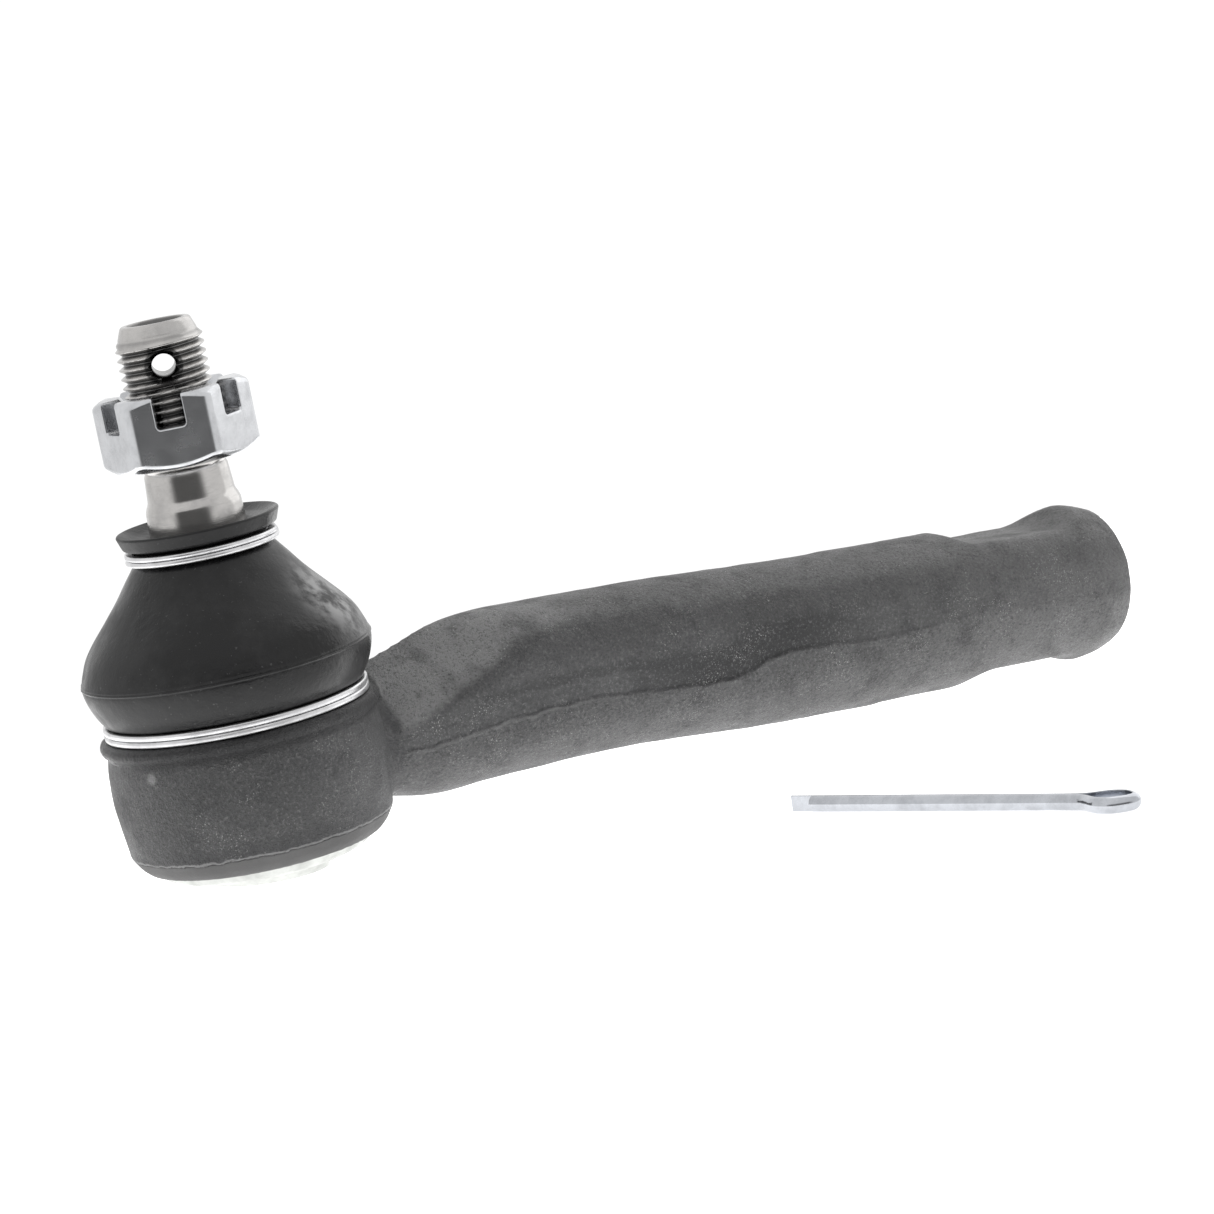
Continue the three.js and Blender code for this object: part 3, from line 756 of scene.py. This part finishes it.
CUP_WALL = (
    [(16.0, 3.9), (16.35, 4.1)] + spline([(16.5, 4.2), (17.3, 5.0), (17.9, 5.95), (18.2, 6.4)], 10)
    + spline([(18.35, 6.9), (18.65, 9), (19.0, 13.5), (18.85, 18), (18.5, 20.5)], 16)
    + spline([(18.62, 20.8), (19.1, 21.15), (19.32, 21.7), (19.2, 22.3), (18.8, 22.8), (18.4, 23.2)], 14)
)
# How far the arm's skin reaches above and below its straight axis, by the distance along it
ARM_ABOVE = (
    (0, 3.6), (14, 5.3), (22, 8.4), (27, 10), (32, 10.95), (38, 11.3), (50, 11.5), (65, 11.6),
    (92, 11.3), (114, 11.4), (134, 12.1), (146, 12.6), (160, 12.7),
)
ARM_BELOW = (
    (0, 9.5), (14, 11), (22, 12.6), (28.7, 13.3), (38, 12.65), (56, 11.9), (68, 12), (86, 12.65),
    (97, 12.75), (110, 12.45), (119, 12.4), (126, 12), (143, 11.6), (160, 11.7),
)
# The line along the arm's side where the flash was trimmed, and how far the trimmed side stands out
TRIM_LINE = ((17.4, 12.4), (38.5, 12.7), (48.4, 12.3), (65.1, 9.7), (73, 8.8), (81.5, 10.1),
             (89.3, 9.4), (101.5, 7.7), (118, 7.0), (126, 5.8), (150, 2.6))
BAND_HEIGHT = 3.7
LIP_HEIGHTS = ((15, 0.05), (34, 0.04), (52, 0.1), (66, 0.4), (84, 0.38), (98, 0.22), (120, 0.12),
               (160, 0.1))
LIP_WIDTHS = ((15, 0.35), (60, 0.45), (82, 0.5), (100, 1.8), (160, 2.4))
# Above this line the forging's top is coarser, and painted lighter as painted light from above
CROWN_LINE = ((15, 14.0), (22.5, 16.6), (34, 20.7), (46, 23.6), (60, 21.9), (80, 19.3), (100, 17.0),
              (155, 11.0))
TRIM_WIDTHS = ((15, 10.6), (58, 10.75), (70, 10.95), (84, 11.5), (95, 12.3), (160, 13))
# The slope that takes the arm's upper corners down to the cup: its normal and a point on it
SHOULDER_NORMAL = (-0.202, 0.604, 0.771)
SHOULDER_POINT = (22.5, 11.0, 16.5)


def table_curve(table, value):
    """A smooth line through a table's pairs."""
    pairs = np.array(spline(table, 12 * len(table), 0.5))
    return np.interp(value, pairs[:, 0], pairs[:, 1])


def arm_place(x, z):
    """How far along the arm's axis a point is, and how far above it."""
    height = z - ARM_START_Z
    along = x * math.cos(ARM_DROOP) - height * math.sin(ARM_DROOP)
    above = x * math.sin(ARM_DROOP) + height * math.cos(ARM_DROOP)
    return along, above


def arm_distance(x, y, z):
    along, above = arm_place(x, z)
    side = np.abs(y)
    top, bottom = table_curve(ARM_ABOVE, along), table_curve(ARM_BELOW, along)
    arm = np.hypot(y, above - (top - bottom) / 2) - (top + bottom) / 2
    arm = round_max(arm, side - table_curve(TRIM_WIDTHS, along), 0.9)
    n, p = SHOULDER_NORMAL, SHOULDER_POINT
    arm = round_max(arm, n[0] * (x - p[0]) + n[1] * (side - p[1]) + n[2] * (z - p[2]), 1.3)
    below = table_curve(TRIM_LINE, x) - z
    lip = smooth_step(below / table_curve(LIP_WIDTHS, x) + 0.5) * np.exp(-(np.maximum(below, 0) / 4.5) ** 2)
    past = -below - BAND_HEIGHT
    shelf = smooth_step(past / 0.9 + 0.5) * np.exp(-(np.maximum(past, 0) / 3) ** 2)
    proud = table_curve(LIP_HEIGHTS, x)
    arm = arm - proud * (lip + 0.7 * shelf) * smooth_step((side - 5.5) / 4)
    rise = 3.1 * np.maximum((np.abs(along - FLAT_CENTRE) - FLAT_HALF_LENGTH) / FLAT_RUN_OUT, 0) ** 2
    arm = round_max(arm, np.abs(above + FLAT_SINK) - FLAT_HALF_WIDTH - rise, 0.7)
    arm = arm + 1.1 * np.clip((along - ARM_LENGTH + 6.9) / 6, 0, 1) ** 2
    arm = round_max(arm, along - ARM_LENGTH, 1.1)
    return np.maximum(arm, ARM_INNER_END - along)


def housing_distance(points):
    """The forging's outer skin: a cup with its bead and collar, filleted into the arm."""
    x, y, z = points.T
    radius = np.hypot(x, y)
    wall = np.interp(z, [p[1] for p in CUP_WALL], [p[0] for p in CUP_WALL])
    cup = round_max(radius - wall, z - BEAD_TOP_Z, 0.55)
    skin = round_min(cup, arm_distance(x, y, z), 2.2)
    near = np.abs(skin) < 1.5
    rough = np.zeros(len(points))
    close = points[near]
    rough[near] = (0.1 * lattice_noise(close, 8.5, 3) + 0.06 * lattice_noise(close, 3.6, 4)
                   + 0.035 * lattice_noise(close, 1.7, 5))
    calm = np.where(x < 19.5, smooth_step((z - CRIMP_TOP_Z) / 1.5), 1)
    skin = skin + rough * calm
    skin = np.where(x < CUP_SIDE_X, np.maximum(skin, CUP_BOTTOM_Z - z), skin)
    collar = np.maximum(radius - COLLAR_RADIUS, np.maximum(z - COLLAR_TOP_Z, 20 - z))
    return np.minimum(skin, collar)


def boot_relief():
    """Room for the boot's skirt and its clip where the arm's root passes under them."""
    return turned(dense(soften([
        (COLLAR_RADIUS, BEAD_TOP_Z), (18.9, BEAD_TOP_Z), (18.9, 25.0), (20.6, 27.4), (21.0, 32),
        (COLLAR_RADIUS, 32),
    ], 0.4, closed=True), 1.0, closed=True), 160)


def cup_cavity():
    """The cup's bore: the plug's recess, the seats' chamber and the mouth that flares upwards."""
    return turned([
        (0, 2), (15.05, 2), (15.05, 4.45), (15.85, 4.5), (15.85, 6.1), (13.85, 6.1), (13.85, 18.1),
        (10.4, 21.2), (9.7, 21.4), (9.7, 22.3), (12.2, 25.01), (12.2, 27), (0, 27),
    ], 128)


def rod_bore():
    """The tapped hole in the arm's end: a threaded cutter laid on the arm's axis."""
    mouth = ROD_BORE_RADIUS + ROD_THREAD_DEPTH + 0.5
    profile = [
        (0, ARM_LENGTH - ROD_BORE_DEPTH - 3.8), (ROD_BORE_RADIUS, ARM_LENGTH - ROD_BORE_DEPTH),
        (ROD_BORE_RADIUS, ARM_LENGTH - 1.1), (mouth, ARM_LENGTH + 0.02), (mouth, ARM_LENGTH + 2),
        (0, ARM_LENGTH + 2),
    ]

    def widen(points):
        return threaded(points, ROD_THREAD_PITCH, -ROD_THREAD_DEPTH,
                        ARM_LENGTH - ROD_BORE_DEPTH + 3, ARM_LENGTH + 1)

    points, *faces = turned(dense(profile, 0.14), 96, widen)
    above, beside, along = points.T
    points = np.column_stack([
        along * math.cos(ARM_DROOP) + above * math.sin(ARM_DROOP), -beside,
        ARM_START_Z - along * math.sin(ARM_DROOP) + above * math.cos(ARM_DROOP),
    ])
    return facing_out(points, *faces)


def housing(material):
    skin = surface(housing_distance, (-21, -20.6, -10), (157, 20.6, 28.5), FORGING_STEP)
    mesh = cut(make_mesh("housing", *skin), boot_relief(), cup_cavity(), rod_bore())
    return add_piece("forged_housing", mesh, material)


# ---- Parts in the cup ----

def end_plug(material):
    profile = [
        (0, 0), (7.6, 0), (8.2, 0.05), *spline([(8.6, 0.2), (9.2, 1.2), (10.4, 2.1), (11.6, 2.35)], 10),
        (13.7, 2.45), (14.6, 3.0), (14.85, 3.7), (14.85, 4.55), (15.6, 4.65), (15.6, 5.95),
        (14.1, 5.95), (14.0, 4.6), (13.2, 3.6), (9.8, 3.2), (8.2, 2.2), (7.6, 1.2), (0, 1.2),
    ]
    body = turned(dense(soften(profile, 0.35), 0.5), 160)
    return add_piece("pressed_plug", make_mesh("plug", *body), material)


def preload_spring(material):
    profile = [(12.7, 3.87), (12.7, 4.35), (6.2, 4.87), (6.2, 4.39)]
    body = turned(dense(soften(profile, 0.15, closed=True), 0.6, closed=True), 128)
    return add_piece("cone_spring", make_mesh("spring", *facing_out(*body)), material)


def ball_seat(name, profile, material):
    body = turned(dense(soften(profile, 0.3, closed=True), 0.6, closed=True), 128)
    return add_piece(name, make_mesh(name, *facing_out(*body)), material)


def lower_seat(material):
    return ball_seat("lower_seat_cup", [
        (3.5, 5.07), (12.9, 5.07), (13.6, 5.75), (13.6, 16.1),
        *arc(SEAT_RADIUS, BALL_CENTRE_Z, -2.2, -70.1, 16),
    ], material)


def upper_seat(material):
    return ball_seat("upper_seat_ring", [
        (13.6, 16.9), (13.6, 18.0), (10.35, 20.85), *arc(SEAT_RADIUS, BALL_CENTRE_Z, 25.3, 2.2, 8),
    ], material)


# ---- Ball stud and nut ----

def ball_stud(material):
    neck = math.degrees(math.acos(5.2 / BALL_RADIUS)) - 4
    lower = [
        (0, BALL_CENTRE_Z - 9.2), *arc(BALL_RADIUS, BALL_CENTRE_Z, -67, neck, 40),
        *spline([(5.3, 26.2), (5.5, 29), (6.3, 32.5), (6.8, 34.5)], 10), (6.8, 46),
        (6.53, SHANK_STEP_Z - 0.25),
        *spline([(6.46, SHANK_STEP_Z), (6.3, SHANK_STEP_Z + 0.45), (6.02, SHANK_STEP_Z + 1.05),
                 (5.95, SHANK_STEP_Z + 1.7)], 10),
        (5.75, 57.0), (5.55, 57.5),
    ]
    upper = [(THREAD_RADIUS, 58.1), (THREAD_RADIUS, THREAD_END_Z - 0.1), (5.42, THREAD_END_Z + 0.55)]
    pilot = [(5.36, THREAD_END_Z + 0.85), (4.85, STUD_TOP_Z - 0.3), (4.6, STUD_TOP_Z), (3.9, STUD_TOP_Z),
             (3.5, STUD_TOP_Z - 0.7), (1.6, STUD_TOP_Z - 1.3), (0, STUD_TOP_Z - 2.4)]
    profile = dense(lower, 0.6) + dense(upper, THREAD_PITCH / 18) + dense(soften(pilot, 0.25), 0.3)

    def grooved(points):
        return threaded(points, THREAD_PITCH, THREAD_DEPTH, THREAD_START_Z - 0.2, THREAD_END_Z + 0.4)

    half, sunk = THREAD_RADIUS + 1, THREAD_RADIUS - PIN_HOLE_SINK
    wide = PIN_HOLE_RADIUS + PIN_HOLE_SINK_SLOPE * (half - sunk)
    hole = turned([
        (0, -half), (wide, -half), (PIN_HOLE_RADIUS, -sunk),
        (PIN_HOLE_RADIUS, sunk), (wide, half), (0, half),
    ], 64)
    turn = np.array(Matrix.Rotation(PIN_HOLE_BEARING, 3, "Z") @ Matrix.Rotation(math.pi / 2, 3, "Y"))
    hole = (hole[0] @ turn.T + (0, 0, PIN_HOLE_Z), *hole[1:])
    mesh = cut(make_mesh("stud", *turned(profile, 160, grooved)), hole)
    return add_piece("threaded_stud", mesh, material, 42)


def nut_distance(points):
    """A castle nut that stands on z = 0: a chamfered hexagon with six slots and a threaded bore."""
    x, y, z = points.T
    radius, angle = np.hypot(x, y), np.arctan2(y, x)
    sixth = math.pi / 3
    folded = (angle + sixth / 2) % sixth - sixth / 2
    across, beside = radius * np.cos(folded), np.abs(radius * np.sin(folded))
    next_flat = beside * math.cos(sixth / 2) + across * math.sin(sixth / 2)
    nut = round_max(across - NUT_HALF_FLATS, next_flat - NUT_HALF_FLATS, NUT_CORNER_ROUNDING)
    ends = np.maximum(-z, z - NUT_HEIGHT)
    chamfer_radius = NUT_CHAMFER_RADIUS - np.where(z < NUT_HEIGHT / 2, NUT_LOWER_CHAMFER, 0)
    bevel = ((radius - chamfer_radius) * NUT_CHAMFER_SLOPE + ends) / math.hypot(1, NUT_CHAMFER_SLOPE)
    nut = round_max(round_max(nut, bevel, 0.4), ends, 0.2)
    slot_side, slot_floor = beside - NUT_SLOT_HALF, NUT_HEIGHT - NUT_SLOT_DEPTH - z
    slot = round_max(slot_side, slot_floor, 0.5)
    nut = round_max(nut, -slot, 0.24)
    thread = NUT_THREAD_DEPTH * thread_shape(z / THREAD_PITCH - angle / (2 * math.pi))
    countersink = NUT_COUNTERSINK_SLOPE * np.maximum(NUT_COUNTERSINK_DEPTH + ends, 0)
    return round_max(nut, NUT_BORE_RADIUS + np.maximum(thread, countersink) - radius, 0.06)


def castle_nut(material):
    points, faces = surface(nut_distance, (-11.6, -11.6, -0.4), (11.6, 11.6, 10.4), NUT_STEP)
    mesh = make_mesh("nut", points + (0, 0, NUT_BOTTOM_Z), faces)
    return add_piece("slotted_nut", mesh, material, 50)


# ---- Boot and clips ----

BOOT_OUTER = (
    (17.9, 25.0), (19.0, 26.8), (19.7, 28.6), (20.0, 30.2), (19.85, 31.3), (19.4, 32.6), (18.7, 34.2),
    (17.5, 35.9), (15.6, 38.1), (13.1, 41.0), (11.3, 43.4), (10.0, 45.1),
)
BOOT_INNER = (
    (8.4, 44.4), (11.7, 41.0), (14.3, 37.9), (16.2, 35.0), (17.4, 32.4), (17.9, 30.2), (17.5, 28.2),
    (16.8, 26.7), (15.95, 25.6),
)


def with_flash(points):
    """The moulding's parting line: a thin ragged rib round the boot's widest part."""
    x, y, z = points.T
    radius = np.hypot(x, y)
    ragged = 0.13 + 0.05 * lattice_noise(points, 2.2, 8) + 0.04 * lattice_noise(points, 0.8, 9)
    middle = BOOT_PARTING_Z + 0.06 * lattice_noise(points, 9, 10)
    rib = np.maximum(ragged, 0.02) * np.exp(-((z - middle) / 0.11) ** 2)
    wave = 0.05 * lattice_noise(points, 7, 11) + 0.02 * lattice_noise(points, 2.5, 12)
    outside = smooth_step((radius - 18.2) / 0.8)
    scale = 1 + (rib * outside + wave * smooth_step((z - 25.5) / 2)) / np.maximum(radius, 1)
    return np.column_stack([x * scale, y * scale, z])


def between(points, low, high):
    """A profile's points between two heights, its ends cut exactly there."""
    points = np.array(points)
    order = points if points[0, 1] < points[-1, 1] else points[::-1]
    kept = order[(order[:, 1] > low + 1e-3) & (order[:, 1] < high - 1e-3)]
    ends = [(np.interp(h, order[:, 1], order[:, 0]), h) for h in (low, high)]
    return [ends[0], *map(tuple, kept), ends[1]]


def boot_lower(material):
    outer = between(dense(spline(BOOT_OUTER, 60), 0.3), BOOT_SKIRT_Z, BOOT_SPLIT_Z)
    outer = [p for p in outer if abs(p[1] - BOOT_PARTING_Z) > 0.45]
    outer += [(20.0, BOOT_PARTING_Z + 0.05 * k) for k in range(-8, 9)]
    outer = sorted(outer, key=lambda p: p[1])
    inner = between(dense(spline(BOOT_INNER, 40), 0.5), 25.6, BOOT_SPLIT_Z)[::-1]
    skirt = soften([(15.95, 25.6), (15.95, 23.1), (17.2, 23.1), (17.2, 24.7), (17.9, 25.0)], 0.25)
    profile = dense(skirt, 0.4)[1:-1] + outer + dense(inner, 0.5)
    body = turned(profile, 300, with_flash)
    return add_piece("boot_bellows", make_mesh("bellows", *facing_out(*body)), material)


def boot_upper(material):
    outer = between(dense(spline(BOOT_OUTER, 60), 0.3), BOOT_SPLIT_Z, 45.1)
    inner = between(dense(spline(BOOT_INNER, 40), 0.5), BOOT_SPLIT_Z, 44.4)[::-1]
    neck = soften([
        (10.0, 45.1), (9.3, 45.7), (9.3, 47.5), (10.6, 47.95), (11.25, 49.75), (11.0, 50.0), (9.2, 49.15),
        (7.7, 48.75), (7.1, 48.3), (7.1, 44.9), (8.4, 44.4),
    ], 0.28)
    profile = outer + dense(neck, 0.3)[1:-1] + inner
    body = turned(profile, 300, with_flash)
    return add_piece("boot_neck_cover", make_mesh("neck", *facing_out(*body)), material)


def boot_clip(name, inner, outer, bottom, top, bearing, material):
    """Flat wire wound twice round, with a short step up between the turns and two cut ends."""
    height = (top - bottom) / 2
    half = height / 2 - 0.02
    end_gap = 0.34
    angles = np.linspace(end_gap, 4 * math.pi - end_gap, 400)
    climb = smooth_step((angles - 2 * math.pi + end_gap) / (2 * end_gap))
    places = bearing + angles
    outward = np.column_stack([np.cos(places), np.sin(places), np.zeros(len(places))])
    path = outward * (inner + outer) / 2
    path[:, 2] = bottom + height * (0.5 + climb)
    wide = (outer - inner) / 2
    corners = [(-wide, -half), (wide, -half), (wide, half), (-wide, half)]
    body = swept(path, outward, soften(corners, 0.34, closed=True))
    return add_piece(name, make_mesh(name, *body), material)


# ---- Split pin ----

def split_pin(material):
    """Half-round wire, its flat side inwards: in along one leg, round the eye and out again."""
    half, eye, length = PIN_LEG_GAP / 2, PIN_EYE_RADIUS, PIN_EYE_LENGTH
    side = [(PIN_LONG_LEG * 0.5, half), (2.5, half), (0.6, half + 0.25), (-length * 0.4, eye - 0.15),
            (-length * 0.75, eye - 0.35)]
    near = [(x, -y) for x, y in side]
    route = [(PIN_LONG_LEG, -half), *near, (-length, 0), *side[::-1], (PIN_SHORT_LEG, half)]
    path = np.array(spline(route, 420, 0.5))
    tangent = np.gradient(path, axis=0)
    tangent /= np.linalg.norm(tangent, axis=1)[:, None]
    flat = np.zeros(len(path))
    outward = np.column_stack([-tangent[:, 1], tangent[:, 0], flat])
    section = [(PIN_WIRE_RADIUS * math.cos(a), PIN_WIRE_RADIUS * math.sin(a))
               for a in np.linspace(-math.pi / 2, math.pi / 2, 17)]
    points, *faces = swept(np.column_stack([path, flat]), outward, soften(section, 0.12, closed=True))
    turn = np.array(Matrix.Rotation(REST_SLOPE, 3, "Y") @ Matrix.Rotation(PIN_BEARING, 3, "Z"))
    rest_height = -math.tan(REST_SLOPE) * (PIN_NECK[0] - REST_CONTACT_X)
    points = points @ turn.T + (*PIN_NECK, rest_height + PIN_WIRE_RADIUS)
    return add_piece("split_pin_wire", make_mesh("pin", points, *faces), material)


# ---- Studio ----

CAMERA_PLACE = (-238.276, -488.539, 120.590)
CAMERA_YAW = math.radians(-31.508)
CAMERA_PITCH = math.radians(9.768)
CAMERA_ROLL = math.radians(-11.105)
FOCAL_LENGTH = 119.57

# The tent's brightness, and how it falls off towards the photographer's side
TENT_WHITE = 0.84
BACK_WHITE = 0.95
FRONT_GREY = 0.115
FRONT_EDGE = (0.62, 0.84)
FRONT_TOP = (0.26, 0.5)
FLOOR_NEAR_CORNER = (-110, -150)
FLOOR_FAR_CORNER = (250, 120)
FLOOR_GLOW = 1.55


def camera():
    back = Vector((math.sin(CAMERA_YAW) * math.cos(CAMERA_PITCH),
                   -math.cos(CAMERA_YAW) * math.cos(CAMERA_PITCH), math.sin(CAMERA_PITCH)))
    level = (-back).cross(Vector((0, 0, 1))).normalized()
    upright = back.cross(level)
    right = level * math.cos(CAMERA_ROLL) + upright * math.sin(CAMERA_ROLL)
    up = upright * math.cos(CAMERA_ROLL) - level * math.sin(CAMERA_ROLL)
    data = bpy.data.cameras.new("camera")
    data.lens, data.sensor_width, data.clip_start = FOCAL_LENGTH, 36, 0.01
    made = bpy.data.objects.new("camera", data)
    turn = Matrix((right, up, back)).transposed().to_4x4()
    made.matrix_world = Matrix.Translation(Vector(CAMERA_PLACE) * MM) @ turn
    bpy.context.scene.collection.objects.link(made)
    bpy.context.scene.camera = made


def floor():
    """A pale sheet lit from below, tilted to touch the plug's edge and the arm's end."""
    material, tree, shader = new_material("floor_paper", roughness=0.9)
    place = object_place(tree)
    paper = mixed(tree, noise(tree, place, 60, 2), 0.4, 0.38)
    tree.links.new(paper, shader.inputs["Base Color"])
    shader.inputs["Emission Color"].default_value = (1, 1, 1, 1)
    y = add_node(tree, "SeparateXYZ", {"Vector": place}).outputs[1]
    tree.links.new(ramp(tree, y, -0.07, -0.01, 0.95, FLOOR_GLOW), shader.inputs["Emission Strength"])
    (x0, y0), (x1, y1) = FLOOR_NEAR_CORNER, FLOOR_FAR_CORNER
    corners = [(x, y, -math.tan(REST_SLOPE) * (x - REST_CONTACT_X) - 0.05)
               for x, y in ((x0, y0), (x1, y0), (x1, y1), (x0, y1))]
    made = bpy.data.objects.new("floor", make_mesh("floor", np.array(corners), np.array([[0, 1, 2, 3]])))
    made.data.materials.append(material)
    bpy.context.scene.collection.objects.link(made)


def soft_light(name, place, size, power, target):
    """A rectangular light that the camera doesn't see, turned towards a target."""
    data = bpy.data.lights.new(name, "AREA")
    data.shape, data.energy = "RECTANGLE", power
    data.size, data.size_y = (side * MM for side in size)
    made = bpy.data.objects.new(name, data)
    facing = (Vector(target) - Vector(place)).to_track_quat("-Z", "Y").to_matrix().to_4x4()
    made.matrix_world = Matrix.Translation(Vector(place) * MM) @ facing
    made.visible_camera = False
    bpy.context.scene.collection.objects.link(made)


def studio():
    """A white tent, dim on the photographer's side; the camera itself sees plain white."""
    world = bpy.data.worlds.new("studio")
    world.use_nodes = True
    tree = world.node_tree
    tree.nodes.clear()
    direction = add_node(tree, "TexCoord").outputs["Generated"]
    front = Vector((math.sin(CAMERA_YAW), -math.cos(CAMERA_YAW), 0))
    towards = add_node(tree, "VectorMath", {0: direction, 1: front}, operation="DOT_PRODUCT")
    height = add_node(tree, "SeparateXYZ", {"Vector": direction}).outputs[2]
    dim = product(tree, ramp(tree, towards.outputs["Value"], *FRONT_EDGE),
                  ramp(tree, height, *FRONT_TOP[::-1]))
    behind = ramp(tree, towards.outputs["Value"], -0.5, -0.95)
    shade = mixed(tree, dim, mixed(tree, behind, TENT_WHITE, BACK_WHITE), FRONT_GREY)
    seen = add_node(tree, "LightPath").outputs["Is Camera Ray"]
    shade = mixed(tree, seen, shade, 1.05)
    background = add_node(tree, "Background", {"Color": shade})
    add_node(tree, "OutputWorld", {"Surface": background.outputs[0]})
    bpy.context.scene.world = world
    bpy.context.scene.view_settings.view_transform = "Standard"
    floor()
    soft_light("right", (420, 60, 260), (420, 560), 0.4, (0, 0, 40))


# ---- Assembly ----

def settle(piece, body, node):
    """The piece rides on a body and stands in for a CAD node, which is hidden."""
    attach(piece, body)
    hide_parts(node)


camera()
studio()

zinc = plated("zinc_plate", (0.72, 0.73, 0.75), 0.23, 0.004)
plug_steel = plated("plug_steel", (0.56, 0.57, 0.55), 0.38, 0.03)
spring_steel = plated("spring_steel", (0.5, 0.5, 0.52), 0.3, 0.015)
clip_wire = plated("clip_wire", (0.8, 0.8, 0.81), 0.34, 0.008, (0.2, 0.2, 2))
pin_steel = plated("pin_steel", (0.62, 0.64, 0.68), 0.16, 0.005)
plastic = seat_plastic()
rubber = boot_rubber()

settle(housing(forged_steel()), "housing", "housing")
settle(end_plug(plug_steel), "housing", "end_plug")
settle(preload_spring(spring_steel), "housing", "preload_spring")
settle(lower_seat(plastic), "housing", "lower_ball_seat")
settle(upper_seat(plastic), "housing", "upper_ball_seat")
settle(ball_stud(stud_steel()), "stud", "ball_stud")
settle(castle_nut(zinc), "nut", "castle_nut")
settle(boot_clip("lower_clip_wire", *LOWER_CLIP, clip_wire), "housing", "lower_boot_clip")
settle(boot_clip("upper_clip_wire", *UPPER_CLIP, clip_wire), "boot_neck", "upper_boot_clip")
settle(split_pin(pin_steel), "pin", "cotter_pin")

bellows = boot_lower(rubber)
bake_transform(bellows)
neck_cover = boot_upper(rubber)
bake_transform(neck_cover)
for part in (bellows, neck_cover):
    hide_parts("dust_boot")
